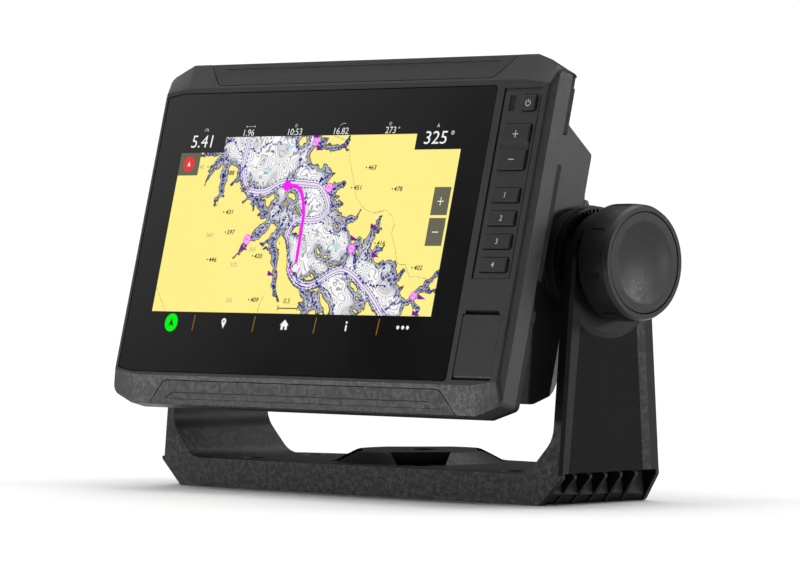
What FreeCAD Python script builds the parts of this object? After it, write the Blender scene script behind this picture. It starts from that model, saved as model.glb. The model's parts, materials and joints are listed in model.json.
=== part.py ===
import FreeCAD, Part
import math
import os

# A 7 inch chartplotter display on a tilting, swivelling bail mount with a quick-release cradle.
# Units are millimetres. +Z is up, +X is the viewer's right and the screen faces -Y.
# The origin is on the mounting surface, on the swivel axis of the bracket.
#
# Display, keys and cradle are drawn in the head's own frame: X across the screen, Y the depth
# behind the front face and Z up the screen. into_world() leans that frame back about the
# tilt axis, so its zero is the front face at the height of the screen's centre.

Vec = FreeCAD.Vector
os.makedirs("parts", exist_ok=True)

# Pose of the tilt axis
TILT_REST = 14.5
PIVOT_Y = -8.4
PIVOT_Z = 91.0
PIVOT_DEPTH = 46.0
PIVOT_UP = -1.5

# Screen: 7 inch, 1024 x 600 pixels
SCREEN_W = 154.2
SCREEN_H = 85.9
SCREEN_X = -12.25
LCD_W = SCREEN_W + 10.7
LCD_H = SCREEN_H + 14.0
LCD_DEPTH = (2.0, 5.0)
LCD_FRAME_DEPTH = (5.05, 6.2)
LCD_EAR_X = 45.0
GLASS_X = (-102.75, 78.25)
GLASS_Z = (-58.6, 55.3)
GLASS_DEPTH = (0.15, 1.95)
GLASS_GAP = 0.35
GLASS_CLIP = (8.0, 1.5)
GLASS_CORNER_R = 2.0
TAPE_DEPTH = (1.95, 2.25)

# Front bezel
HEAD_W = 213.0
HEAD_TOP = 68.2
HEAD_BOTTOM = -71.2
BAND_CORNER_X = 94.2
BAND_SIDE_Z = (-66.6, 62.4)
FACE_W = 209.7
FACE_CORNER_X = 92.0
FACE_Z = (-60.2, 57.6)
FACE_SIDE_Z = (-58.4, 55.8)
BAND_CORNER_R = 2.4
FACE_EDGE_R = 1.6
RIM_DEPTH = 2.8
BAND_DEPTH = 9.9
PLATE_DEPTH = 4.6
BEZEL_WALL = 3.0
TRIM_DEPTH = 1.2
TRIM_GAP = 0.2
TRIM_FIELD_SINK = 0.35
TRIM_BORDER = 4.5
TRIM_LIP = 2.2
TRIM_INNER = (75.3, 58.7, -62.0)
TRIM_OUTER_X = 85.2
TRIM_CORNER_R = 5.0
CASE_POSTS_X = (-48.0, 0.0, 48.0)
CASE_POSTS_Z = (-62.0, 59.2)
CASE_CORNER_POSTS_X = (-95.0, 95.0)
CASE_CORNER_POSTS_Z = (-61.4, 57.0)
CASE_POST_R = 3.4
FLUSH_HOLE_R = 2.1
FLUSH_HOLES_X = 78.0
FLUSH_HOLES_Z = (64.2, -67.4)

# Keys, all on one column
KEY_X = 92.7
KEY_W = 14.6
KEY_H = 6.2
KEY_TOP_Z = 12.6
KEY_PITCH = 8.93
KEY_PROUD = 0.9
KEY_GAP = 0.3
KEY_LIP = 0.9
KEY_LIP_DEPTH = (5.3, 5.9)
KEY_STEM_R = 1.3
KEY_STEM_END = 7.2
POWER_X = 96.3
POWER_Z = 48.3
POWER_W = 8.0
POWER_H = 6.8
ROCKER_Z = 31.2
ROCKER_H = 18.5
ROCKER_VALLEY = 0.9
ROCKER_STEM_Z = 6.0
SENSOR_X = 87.6
SENSOR_W = 3.0
SENSOR_H = 6.0
KEY_FIELD_X = (82.3, 101.7)
KEY_FIELD_Z = (-19.6, 54.3)
KEY_CORNER_R = 1.0
ROCKER_CORNER_R = 1.4
POWER_CORNER_R = 1.5
MAT_DEPTH = (6.75, 7.45)
KEY_BOARD_DEPTH = (8.7, 10.1)
DOME_R = 2.2
DOME_DEPTH = 8.25

# Card door
DOOR_X = (81.5, 100.7)
DOOR_Z = (-58.0, -33.2)
DOOR_DEPTH = (0.2, 2.8)
DOOR_GAP = 0.25
DOOR_PIN_R = 0.75
DOOR_PIN_DEPTH = 1.6
NOTCH_H = 1.7
READER_X = (80.4, 86.0)
READER_Z = (-51.3, -37.7)
READER_DEPTH = (4.9, 22.0)
READER_SLOTS_X = (82.5, 84.7)

# Rear case of the display
FLANGE_DEPTH = (10.2, 12.9)
FLANGE_IN = 0.6
FLANGE_GAPS_Z = ((27.5, 39.2), (-29.0, -17.3))
FLANGE_STEPS_Z = ((57.0, 61.4), (-41.0, -33.2))
TUB_HALF_W = 88.6
TUB_DEPTH = 30.0
TUB_WALL = 2.2
TUB_Z = (-55.0, 49.0)
CASE_SCREW_R = 1.1
CASE_SCREW_HEAD_R = 2.6
CASE_SCREW_SINK = 0.9
FIN_PITCH = 10.0
FIN_H = 3.5
FIN_Z = (8.0, 30.0)
CATCH_DEPTH = (22.0, 26.2)
CATCH_UP = 42.9

# Boards inside the display
BOARD_X = (-84.0, 60.0)
BOARD_Z = (-48.0, 34.0)
BOARD_DEPTH = (14.2, 15.8)
BOARD_SCREW_IN = 4.0
BOARD_SCREW_R = 1.45
SHIELD_H = 3.0
SPREADER_DEPTH = (22.4, 25.2)
BEEPER_X = -66.0
BEEPER_Z = -30.0
CONNECTOR_X = 0.0
CONNECTOR_Z = -22.0
CONNECTOR_R = 11.5
CONTACT_R = 0.7

# Quick-release cradle
CRADLE_HALF_W = 93.0
CRADLE_FRONT = 13.2
CRADLE_BACK = 49.4
CRADLE_TOP_BACK = 42.3
CRADLE_WALL = 3.0
CRADLE_CHAMFER = (4.8, 7.7)
CRADLE_CORNERS_R = [0.0, 2.0, 3.0, 3.0, 2.0, 2.0, 6.0, 0.0]
BOSS_R = 20.5
BOSS_INNER_X = 82.0
BOSS_OUTER_X = 96.4
BOSS_FLANGE_R = 21.6
BOSS_FLANGE_X = 98.0
INSERT_R = 6.0
INSERT_INNER_X = 86.0
LATCH_HALF_W = 18.0
LATCH_PIN_R = 1.25
LATCH_GAP = 0.4
LATCH_PIN_DEPTH = 35.0
LATCH_PIN_UP = 41.2
LATCH_AHEAD = 9.0
LATCH_BEHIND = 8.6
LATCH_EYE_R = 2.8
SPRING_WIRE_R = 0.35
SPRING_TURNS = 8
SOCKETS_X = (-34.0, 34.0)
SOCKET_BORE_R = 6.2
SOCKET_SHELL_R = 8.35
SOCKET_STICKS_OUT = 6.0
SOCKET_PINS = 5
SOCKET_PIN_RING_R = 3.4
SOCKET_PIN_R = 0.6

# Tilt lock
RATCHET_R = 21.2
RATCHET_X = (98.0, 100.9)
TEETH = 60
TOOTH_H = 0.8
TOOTH_W = 0.6
TOOTH_R = (12.0, 20.2)
STUD_R = 4.0
STUD_BORE_R = 4.06
STUD_HOLE_R = 4.5

# Bail bracket
ARM_INNER_X = 104.0
ARM_OUTER_X = 109.0
ARM_TOP_R = 21.2
ARM_FLAT_Z = 99.7
ARM_HUB_R = 19.2
BASE_FRONT = -37.4
BASE_SIDE_BACK = 18.4
BASE_MID_BACK = 34.6
BASE_TOP = 11.6
BASE_HALF_W = (98.0, 102.4)
KNEE_Z = 10.4
KNEE_RADII = (1.8, 2.6)
GUSSET_X = 92.0
GUSSET_Z = 25.0
GUSSET_R = 11.0
BASE_WALL = 2.6
DOME_TOP_R = 26.6
DOME_FOOT_R = 34.8
DOME_Z = 16.6
END_HOLE_X = 71.0
END_HOLE_Y = (-23.0, 10.0)
END_HOLE_R = 2.6
END_SINK_R = 5.2
CORNER_RIBS = 5
RIB_PITCH = 8.6
RIB_FIRST_Y = -29.0
RIB_T = 1.5
CORNER_POCKET_X = 103.0
CORNER_POCKET_Z = (2.7, 12.2)
CORNER_LIP_IN = 0.8
PANEL_SINK = 1.0
PANEL_TOP_Z = 80.0
PANEL_KNOB_R = 26.4
PANEL_TOP_SLOPE = 2.2
ARM_EDGE = 1.3
ARM_FRONT_FOOT = (BASE_FRONT, KNEE_Z)
ARM_BACK_FOOT = (18.4, KNEE_Z)
ARM_INNER_BOSS_R = 16.0
ARM_OUTER_BOSS_R = 12.5
WING_CELLS = 3
WING_FIRST_X = 38.0
WING_PITCH = 21.0
WING_CELL_W = 18.8
END_BOSS_R = 6.2

# Swivel under the dome
SWIVEL_R = 33.6
SWIVEL_TOP = 8.4
SWIVEL_GAP = 0.4
SWIVEL_PCD = 55.0
SWIVEL_HOLE_R = 2.3
SWIVEL_RECESS_R = 7.0
SWIVEL_RECESS_Z = 12.8
SWIVEL_SCREW_R = 2.5
SWIVEL_WASHER_R = 6.0
SWIVEL_WASHER_T = 0.8
POCKET_REACH = (22.6, 36.5)
POCKET_HALF_W = (12.0, 8.6)

# Knobs
KNOB_BACK_X = 111.2
KNOB_FRONT_X = 125.3
KNOB_R = 22.2
KNOB_RIM_R = 21.0
KNOB_CAP_R = 19.1
KNOB_CAP_GAP = 0.2
KNOB_CAP_T = 3.4
KNOB_DISH_R = 14.8
KNOB_DISH_DEPTH = 1.9
KNOB_NOTCHES = 8
STUD_HEX_R = 6.5

SIDES = (("right", 1), ("left", -1))


# ---------------------------------------------------------------- shape helpers

def box(x, y, z):
    """Block between the two ends given along each axis."""
    return Part.makeBox(x[1] - x[0], y[1] - y[0], z[1] - z[0], Vec(x[0], y[0], z[0]))


def tube_x(radius, x, y=0.0, z=0.0):
    """Cylinder along X between the two ends in x."""
    return Part.makeCylinder(radius, x[1] - x[0], Vec(x[0], y, z), Vec(1, 0, 0))


def tube_y(radius, y, x=0.0, z=0.0):
    """Cylinder along Y between the two ends in y."""
    return Part.makeCylinder(radius, y[1] - y[0], Vec(x, y[0], z), Vec(0, 1, 0))


def tube_z(radius, z, x=0.0, y=0.0):
    """Cylinder along Z between the two ends in z."""
    return Part.makeCylinder(radius, z[1] - z[0], Vec(x, y, z[0]), Vec(0, 0, 1))


def loop(points):
    """Closed wire through the points."""
    return Part.makePolygon(list(points) + [points[0]])


def soft_loop(points, radii):
    """Closed wire through the points, with a tangent arc of the given radius at each corner."""
    count = len(points)
    starts = []
    ends = []
    middles = []
    for index, corner in enumerate(points):
        back = (points[index - 1] - corner).normalize()
        ahead = (points[(index + 1) % count] - corner).normalize()
        half = back.getAngle(ahead) / 2
        reach = radii[index] / math.tan(half)
        bisector = (back + ahead).normalize()
        starts.append(corner + back * reach)
        ends.append(corner + ahead * reach)
        middles.append(corner + bisector * (radii[index] / math.sin(half) - radii[index]))
    edges = []
    for index in range(count):
        if radii[index] > 0.0:
            edges.append(Part.Arc(starts[index], middles[index], ends[index]).toShape())
        edges.append(Part.LineSegment(ends[index], starts[(index + 1) % count]).toShape())
    return Part.Wire(edges)


def slab_y(outline, y, radii=None):
    """Outline of (x, z) points pushed along Y, with round corners where radii are given."""
    points = [Vec(px, y[0], pz) for px, pz in outline]
    wire = soft_loop(points, radii) if radii else loop(points)
    return Part.Face(wire).extrude(Vec(0, y[1] - y[0], 0))


def slab_x(outline, x, radii=None):
    """Outline of (y, z) points pushed along X, with round corners where radii are given."""
    points = [Vec(x[0], py, pz) for py, pz in outline]
    wire = soft_loop(points, radii) if radii else loop(points)
    return Part.Face(wire).extrude(Vec(x[1] - x[0], 0, 0))


def rounded_y(x, z, y, radius):
    """Block whose four edges along Y are rounded."""
    body = box(x, y, z)
    edges = [e for e in body.Edges if abs(e.tangentAt(e.FirstParameter).y) > 0.9]
    return body.makeFillet(radius, edges)


def around(centre, half):
    """The two ends of a span."""
    return (centre - half, centre + half)


def join(shapes):
    """One solid from touching shapes."""
    first = shapes[0]
    return first.fuse(shapes[1:]).removeSplitter()


def cut(body, tools):
    """The body with every tool taken out of it."""
    return body.cut(tools).removeSplitter()


def mirrored(shape, side):
    """The shape as drawn for the right, or its mirror image for the left."""
    if side > 0:
        return shape
    return shape.mirror(Vec(0, 0, 0), Vec(1, 0, 0))


def spin_x(profile):
    """Solid of revolution about the X axis from (x, radius) points."""
    wire = loop([Vec(px, 0, radius) for px, radius in profile])
    return Part.Face(wire).revolve(Vec(0, 0, 0), Vec(1, 0, 0), 360)


def spin_z(profile):
    """Solid of revolution about the Z axis from (radius, z) points."""
    wire = loop([Vec(radius, 0, pz) for radius, pz in profile])
    return Part.Face(wire).revolve(Vec(0, 0, 0), Vec(0, 0, 1), 360)


def into_world(shape):
    """Lean a shape from the head's frame back about the tilt axis and put it in place."""
    turned = shape.copy()
    turned.translate(Vec(0, -PIVOT_DEPTH, -PIVOT_UP))
    turned.rotate(Vec(0, 0, 0), Vec(1, 0, 0), -TILT_REST)
    turned.translate(Vec(0, PIVOT_Y, PIVOT_Z))
    return turned


def at_pivot(shape):
    """Move a shape drawn about the X axis on to the tilt axis."""
    moved = shape.copy()
    moved.translate(Vec(0, PIVOT_Y, PIVOT_Z))
    return moved


# ---------------------------------------------------------------- display housing

def both_sides(right):
    """The right half of an outline followed by its mirror image."""
    return right + [(-px, pz) for px, pz in reversed(right)]


def band_outline(inset=0.0):
    """Outline of the bezel's side band: a rectangle with long, low corner chamfers."""
    side = HEAD_W / 2 - inset
    return both_sides([(BAND_CORNER_X, HEAD_TOP - inset), (side, BAND_SIDE_Z[1]),
                       (side, BAND_SIDE_Z[0]), (BAND_CORNER_X, HEAD_BOTTOM + inset)])


def face_outline():
    """Outline of the flat front face, where the sloping rims meet it."""
    side = FACE_W / 2
    return both_sides([(FACE_CORNER_X, FACE_Z[1]), (side, FACE_SIDE_Z[1]),
                       (side, FACE_SIDE_Z[0]), (FACE_CORNER_X, FACE_Z[0])])


def bezel_blank():
    """Bezel with its sloping rims and softened edges, before anything is cut."""
    front = loop([Vec(px, 0, pz) for px, pz in face_outline()])
    rim = loop([Vec(px, RIM_DEPTH, pz) for px, pz in band_outline()])
    slope = Part.makeLoft([front, rim], True, True)
    body = join([slope, slab_y(band_outline(), (RIM_DEPTH, BAND_DEPTH))])
    body = body.makeFillet(BAND_CORNER_R, [e for e in body.Edges if e.BoundBox.YLength > 0.5])
    return body.makeFillet(FACE_EDGE_R, [e for e in body.Edges if e.BoundBox.YMax < 0.01])


def edges_along_y(body, beyond_x):
    """The body's edges along Y that lie further right than the given place."""
    return [e for e in body.Edges
            if abs(e.tangentAt(e.FirstParameter).y) > 0.9 and e.Vertexes[0].X > beyond_x]


def glass_blank(depth, gap):
    """Outline of the glass, with its two clipped left corners and two round right ones."""
    x0 = GLASS_X[0] - gap
    x1 = GLASS_X[1] + gap
    z0 = GLASS_Z[0] - gap
    z1 = GLASS_Z[1] + gap
    along, up = GLASS_CLIP
    outline = [(x0, z0 + up), (x0 + along, z0), (x1, z0), (x1, z1), (x0 + along, z1), (x0, z1 - up)]
    body = slab_y(outline, depth)
    return body.makeFillet(GLASS_CORNER_R, edges_along_y(body, x1 - 0.1))


def trim_outline(side, gap):
    """Trim piece: wide at the outer edge of the rim, narrower at the inner one."""
    inner_x, upper_z, lower_z = TRIM_INNER
    inner_z = upper_z - gap if side > 0 else lower_z + gap
    outer_z = HEAD_TOP + 1.3 if side > 0 else HEAD_BOTTOM - 1.3
    near = inner_x + gap
    far = TRIM_OUTER_X + gap
    return [(-near, inner_z), (near, inner_z), (far, outer_z), (-far, outer_z)]


def rim_slice(side, top, bottom, gap):
    """Layer of the sloping rim between two depths below its own surface."""
    span = slab_y(trim_outline(side, gap), (-1.0, BAND_DEPTH), [TRIM_CORNER_R, TRIM_CORNER_R, 0.0, 0.0])
    upper = bezel_blank()
    upper.translate(Vec(0, top, 0))
    lower = bezel_blank()
    lower.translate(Vec(0, bottom, 0))
    return upper.cut(lower).common(span)


def trim_piece(side):
    """Snap-on cover of the rim, with a shallow sunk field inside a raised border."""
    layer = rim_slice(side, 0.0, TRIM_DEPTH, 0.0)
    sunk = rim_slice(side, -0.5, TRIM_FIELD_SINK, -TRIM_BORDER)
    field_z = (0.0, HEAD_TOP - TRIM_LIP) if side > 0 else (HEAD_BOTTOM + TRIM_LIP, 0.0)
    field = sunk.common(box((-HEAD_W, HEAD_W), (-5.0, BAND_DEPTH), field_z))
    return cut(layer, [field])


def key_centres():
    """Height of each numbered key, from the top."""
    return [KEY_TOP_Z - KEY_PITCH * index for index in range(4)]


def key_openings():
    """Holes that the keys and the light sensor's window stand in."""
    through = (-1.0, PLATE_DEPTH + 1.0)
    key_x = around(KEY_X, KEY_W / 2)
    tools = [rounded_y(key_x, around(z, KEY_H / 2), through, KEY_CORNER_R) for z in key_centres()]
    tools.append(rounded_y(key_x, around(ROCKER_Z, ROCKER_H / 2), through, ROCKER_CORNER_R))
    tools.append(rounded_y(around(POWER_X, POWER_W / 2), around(POWER_Z, POWER_H / 2), through,
                           POWER_CORNER_R))
    tools.append(box(around(SENSOR_X, SENSOR_W / 2), through, around(POWER_Z, SENSOR_H / 2)))
    return tools


def key_field_grooves():
    """Groove round the key field: broad at the top and left, fine at the right and bottom."""
    left, right = KEY_FIELD_X
    bottom, top = KEY_FIELD_Z
    return [
        box((left, left + 1.1), (-1.0, 0.5), (bottom, top)),
        box((left, right), (-1.0, 0.6), (top - 1.5, top)),
        box((right - 0.35, right), (-1.0, 0.3), (bottom, top - 3.0)),
        box((left, right), (-1.0, 0.3), (bottom, bottom + 0.4)),
    ]


def door_recess():
    """Sunk seat of the card door, the finger notch above it and the way to the card reader."""
    seat = box((DOOR_X[0] - DOOR_GAP, DOOR_X[1] + DOOR_GAP), (-1.0, DOOR_DEPTH[1] + 0.4),
               (DOOR_Z[0] - DOOR_GAP, DOOR_Z[1] + DOOR_GAP))
    top = DOOR_Z[1]
    scoop = [(-1.0, top), (-1.0, top + NOTCH_H + 0.6), (0.0, top + NOTCH_H), (DOOR_DEPTH[1], top)]
    notch = slab_x(scoop, (DOOR_X[0] + 1.0, DOOR_X[1] - 1.0))
    way = box((DOOR_X[0] + 0.2, READER_X[1] - 0.5), (0.0, 8.0), (READER_Z[0] + 1.0, READER_Z[1] - 1.0))
    return [seat, notch, way]


def case_screw_places():
    """Screws round the rear case's flange."""
    inner = [(px, pz) for px in CASE_POSTS_X for pz in CASE_POSTS_Z]
    corners = [(px, pz) for px in CASE_CORNER_POSTS_X for pz in CASE_CORNER_POSTS_Z]
    return inner + corners


def bezel_posts():
    """Screw posts inside the bezel that the rear case is screwed to."""
    return [tube_y(CASE_POST_R, (PLATE_DEPTH - 0.5, BAND_DEPTH), px, pz)
            for px, pz in case_screw_places()]


def flush_holes(depth):
    """Holes for mounting the display flush, without its bracket."""
    return [tube_y(FLUSH_HOLE_R, depth, sign * FLUSH_HOLES_X, pz)
            for _, sign in SIDES for pz in FLUSH_HOLES_Z]


def front_bezel():
    """Moulded front frame of the display."""
    hollow = slab_y(band_outline(BEZEL_WALL), (PLATE_DEPTH, BAND_DEPTH + 1.0))
    window = box(around(SCREEN_X, LCD_W / 2 + 1.0), (-1.0, 6.0), around(0.0, LCD_H / 2 + 1.0))
    tools = [hollow, window, glass_blank((-1.0, TAPE_DEPTH[1]), GLASS_GAP)]
    tools += key_openings() + key_field_grooves() + door_recess()
    tools += [rim_slice(sign, -0.5, TRIM_DEPTH + TRIM_GAP, TRIM_GAP) for _, sign in SIDES]
    body = join([cut(bezel_blank(), tools)] + bezel_posts())
    drill = [tube_y(CASE_SCREW_R, (PLATE_DEPTH + 1.2, BAND_DEPTH + 1.0), px, pz)
             for px, pz in case_screw_places()]
    drill += flush_holes((-1.0, BAND_DEPTH + 1.0))
    drill.append(card_door_pin())
    return cut(body, drill)


def rear_outline(inset):
    """Side view (depth, height) of the tub behind the flange."""
    front = FLANGE_DEPTH[1] - 1.0
    back = TUB_DEPTH - inset
    top = TUB_Z[1] - inset
    bottom = TUB_Z[0] + inset
    drop = 0.5 * (back - front)
    return [(front, top), (back, top - drop), (back, bottom + 1.0), (front, bottom)]


def flange_notches():
    """Gaps and shallow steps along the two sides of the flange."""
    side = HEAD_W / 2
    depth = (FLANGE_DEPTH[0] - 1.0, FLANGE_DEPTH[1] + 1.0)
    tools = []
    for sign in (1, -1):
        tools += [box(around(sign * side, 3.4), depth, z) for z in FLANGE_GAPS_Z]
        tools += [box(around(sign * side, 1.3), depth, z) for z in FLANGE_STEPS_Z]
    return tools


def rear_case():
    """Moulded rear case of the display: a flange and a tub that drops into the cradle."""
    flange = slab_y(band_outline(FLANGE_IN), FLANGE_DEPTH, [BAND_CORNER_R] * 8)
    tub = slab_x(rear_outline(0.0), around(0.0, TUB_HALF_W))
    inner_x = around(0.0, TUB_HALF_W - TUB_WALL)
    inner = slab_x(rear_outline(TUB_WALL), inner_x)
    mouth = box(inner_x, (5.0, FLANGE_DEPTH[1]), (TUB_Z[0] + TUB_WALL, TUB_Z[1] - TUB_WALL))
    key_side = box((80.0, 101.0), (5.0, FLANGE_DEPTH[1] - 1.2), (-19.0, 54.0))
    body = cut(join([flange, tub]), [inner, mouth, key_side] + flange_notches())
    fins = [box(around(FIN_PITCH * index, 0.9), (TUB_DEPTH - 0.5, TUB_DEPTH + FIN_H), FIN_Z)
            for index in range(-7, 8)]
    front, back = CATCH_DEPTH
    low = CATCH_UP - 1.9
    ridge = [(front, CATCH_UP - 0.9), (back - 0.6, CATCH_UP), (back, low), (front, low)]
    catch = slab_x(ridge, around(0.0, LATCH_HALF_W - 2.0))
    body = join([body, catch] + fins)
    drill = [tube_y(CASE_SCREW_R + 0.3, (5.0, 20.0), px, pz) for px, pz in case_screw_places()]
    drill += [tube_y(CASE_SCREW_HEAD_R + 0.1, (FLANGE_DEPTH[1] - CASE_SCREW_SINK, 20.0), px, pz)
              for px, pz in case_screw_places()]
    drill += flush_holes((5.0, 20.0))
    drill.append(tube_y(CONNECTOR_R, (TUB_DEPTH - 5.0, TUB_DEPTH + 5.0), CONNECTOR_X, CONNECTOR_Z))
    return cut(body, drill)


def case_seal():
    """Rubber cord between bezel and rear case."""
    outer = slab_y(band_outline(BEZEL_WALL + 0.4), (BAND_DEPTH - 1.1, FLANGE_DEPTH[0]))
    inner = slab_y(band_outline(BEZEL_WALL + 2.2), (BAND_DEPTH - 2.0, FLANGE_DEPTH[0] + 1.0))
    return outer.cut(inner)


def case_screws():
    """Screws that hold the rear case to the bezel."""
    back = FLANGE_DEPTH[1]
    group = []
    for px, pz in case_screw_places():
        head = tube_y(CASE_SCREW_HEAD_R, (back - CASE_SCREW_SINK, back), px, pz)
        shank = tube_y(CASE_SCREW_R, (PLATE_DEPTH + 1.6, back - CASE_SCREW_SINK + 0.1), px, pz)
        group.append(join([shank, head]))
    return Part.makeCompound(group)


# ---------------------------------------------------------------- screen and electronics

def glass_lens():
    """Cover glass with the touch sensor."""
    return glass_blank(GLASS_DEPTH, 0.0)


def lens_tape():
    """Adhesive frame that seals the glass to the bezel."""
    outer = glass_blank(TAPE_DEPTH, -0.6)
    window = box(around(SCREEN_X, LCD_W / 2 + 1.4), (0.0, 5.0), around(0.0, LCD_H / 2 + 1.4))
    return outer.cut(window)


def lcd_panel():
    """Liquid-crystal panel behind the glass."""
    return box(around(SCREEN_X, LCD_W / 2), LCD_DEPTH, around(0.0, LCD_H / 2))


def lcd_frame():
    """Pressed metal tray that carries the panel's backlight."""
    plate = box(around(SCREEN_X, LCD_W / 2 + 1.5), LCD_FRAME_DEPTH, around(0.0, LCD_H / 2 + 1.5))
    ears = [box(around(SCREEN_X + sx * LCD_EAR_X, 4.0), LCD_FRAME_DEPTH, around(sz * (LCD_H / 2 + 3.4), 2.6))
            for sx in (1, -1) for sz in (1, -1)]
    vents = [box(around(SCREEN_X + 20.0 * index, 5.0), (4.0, 8.0), (-20.0, 20.0)) for index in range(-3, 4)]
    return cut(join([plate] + ears), vents)


def board_screw_places():
    """Screws at the corners of the main board."""
    return [(px, pz)
            for px in (BOARD_X[0] + BOARD_SCREW_IN, BOARD_X[1] - BOARD_SCREW_IN)
            for pz in (BOARD_Z[0] + BOARD_SCREW_IN, BOARD_Z[1] - BOARD_SCREW_IN)]


def main_board():
    """Main circuit board with its larger chips."""
    board = box(BOARD_X, BOARD_DEPTH, BOARD_Z)
    front = BOARD_DEPTH[0]
    chips = [
        box((-60.0, -44.0), (front - 1.2, front + 0.1), (0.0, 16.0)),
        box((-36.0, -24.0), (front - 1.0, front + 0.1), (4.0, 12.0)),
        box((20.0, 34.0), (front - 2.4, front + 0.1), (-36.0, -26.0)),
        box((40.0, 52.0), (front - 1.6, front + 0.1), (-10.0, 12.0)),
    ]
    holes = [tube_y(1.6, (10.0, 20.0), px, pz) for px, pz in board_screw_places()]
    return cut(join([board] + chips), holes)


def board_screws():
    """Screws that hold the main board to the posts of the heat spreader."""
    front, back = BOARD_DEPTH
    group = []
    for px, pz in board_screw_places():
        head = tube_y(2.6, (front - 1.5, front), px, pz)
        shank = tube_y(BOARD_SCREW_R, (front - 0.1, back + 3.0), px, pz)
        group.append(join([head, shank]))
    return Part.makeCompound(group)


def processor_shield():
    """Tinned can over the processor."""
    back = BOARD_DEPTH[1]
    can = box((-12.0, 26.0), (back, back + SHIELD_H), (-8.0, 26.0))
    hollow = box((-11.6, 25.6), (back - 1.0, back + SHIELD_H - 0.4), (-7.6, 25.6))
    return can.cut(hollow)


def heat_spreader():
    """Aluminium plate between the board and the rear case, with posts for the board."""
    board = BOARD_DEPTH[1]
    front = SPREADER_DEPTH[0]
    plate = box((-82.0, 62.0), SPREADER_DEPTH, (-46.0, 36.0))
    posts = [tube_y(3.2, (board, front + 0.5), px, pz) for px, pz in board_screw_places()]
    pad = box((-8.0, 22.0), (board + SHIELD_H + 0.1, front + 0.5), (-4.0, 22.0))
    body = join([plate, pad] + posts)
    holes = [tube_y(BOARD_SCREW_R + 0.05, (board - 1.0, board + 4.0), px, pz)
             for px, pz in board_screw_places()]
    holes.append(tube_y(CONNECTOR_R + 1.5, (10.0, 40.0), CONNECTOR_X, CONNECTOR_Z))
    return cut(body, holes)


def gnss_antenna():
    """Ceramic patch antenna on its ground plate, standing on the board under the top of the case."""
    floor = BOARD_Z[1] + 2.4
    leg = box((-62.0, -58.0), BOARD_DEPTH, (BOARD_Z[1], floor + 0.1))
    plate = box((-68.0, -52.0), (7.4, 21.0), (floor, floor + 1.0))
    patch = box((-66.0, -54.0), (8.2, 20.2), (floor + 0.9, floor + 5.0))
    return join([leg, plate, patch])


def beeper():
    """Piezo sounder on the back of the board."""
    back = BOARD_DEPTH[1]
    can = tube_y(6.0, (back, back + 5.0), BEEPER_X, BEEPER_Z)
    return can.cut(tube_y(1.0, (back + 4.0, back + 6.0), BEEPER_X, BEEPER_Z))


def card_reader():
    """Two memory-card slots side by side behind the card door."""
    body = box(READER_X, READER_DEPTH, READER_Z)
    slot_z = around(sum(READER_Z) / 2, 5.7)
    slots = [box(around(px, 0.6), (0.0, READER_DEPTH[1] - 2.0), slot_z) for px in READER_SLOTS_X]
    return cut(body, slots)


def contact_places():
    """Twelve contacts in a ring of nine and a ring of three."""
    places = []
    for count, radius in ((9, 7.6), (3, 3.2)):
        for index in range(count):
            angle = 2 * math.pi * index / count
            places.append((CONNECTOR_X + radius * math.cos(angle), CONNECTOR_Z + radius * math.sin(angle)))
    return places


def head_connector():
    """Round contact plug at the back of the display."""
    seat = TUB_DEPTH - TUB_WALL
    flange = tube_y(CONNECTOR_R + 1.0, (seat - 1.4, seat), CONNECTOR_X, CONNECTOR_Z)
    barrel = tube_y(CONNECTOR_R - 0.15, (seat - 1.4, TUB_DEPTH + 5.0), CONNECTOR_X, CONNECTOR_Z)
    pins = [tube_y(CONTACT_R, (TUB_DEPTH + 4.5, TUB_DEPTH + 7.0), px, pz) for px, pz in contact_places()]
    return join([flange, barrel] + pins)


# ---------------------------------------------------------------- keys and card door

def key_cap(x, z, w, h, radius):
    """Key with a chamfered crown, a retaining lip and no stem."""
    half_w = w / 2 - KEY_GAP
    half_h = h / 2 - KEY_GAP
    depth = (-KEY_PROUD, KEY_LIP_DEPTH[0] + 0.1)
    cap = rounded_y(around(x, half_w), around(z, half_h), depth, radius - 0.2)
    crown = [e for e in cap.Edges if e.BoundBox.YMax < -KEY_PROUD + 0.01]
    cap = cap.makeChamfer(0.45, crown)
    lip = box(around(x, half_w + KEY_LIP), KEY_LIP_DEPTH, around(z, half_h + KEY_LIP))
    return join([cap, lip])


def key_stem(x, z):
    """Post under a key that presses its switch."""
    return tube_y(KEY_STEM_R, (KEY_LIP_DEPTH[1] - 0.1, KEY_STEM_END), x, z)


def numbered_key(index):
    """One of the four shortcut keys."""
    z = key_centres()[index]
    return join([key_cap(KEY_X, z, KEY_W, KEY_H, KEY_CORNER_R), key_stem(KEY_X, z)])


def power_key():
    """Round-cornered power key."""
    cap = key_cap(POWER_X, POWER_Z, POWER_W, POWER_H, POWER_CORNER_R)
    return join([cap, key_stem(POWER_X, POWER_Z)])


def zoom_rocker():
    """Rocking zoom key: two pads with a valley between them."""
    cap = key_cap(KEY_X, ROCKER_Z, KEY_W, ROCKER_H, ROCKER_CORNER_R)
    face = -KEY_PROUD
    floor = face + ROCKER_VALLEY
    groove = [(face - 1.0, 3.0), (face, 2.4), (floor, 0.9), (floor, -0.6), (face, -1.5), (face - 1.0, -2.1)]
    valley = slab_x([(depth, ROCKER_Z + up) for depth, up in groove], around(KEY_X, KEY_W))
    stems = [key_stem(KEY_X, ROCKER_Z + sign * ROCKER_STEM_Z) for _, sign in SIDES]
    return join([cut(cap, [valley])] + stems)


def switch_places():
    """Where each key's stem meets its switch."""
    places = [(KEY_X, z) for z in key_centres()]
    places += [(KEY_X, ROCKER_Z + side * ROCKER_STEM_Z) for side in (1, -1)]
    places.append((POWER_X, POWER_Z))
    return places


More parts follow.
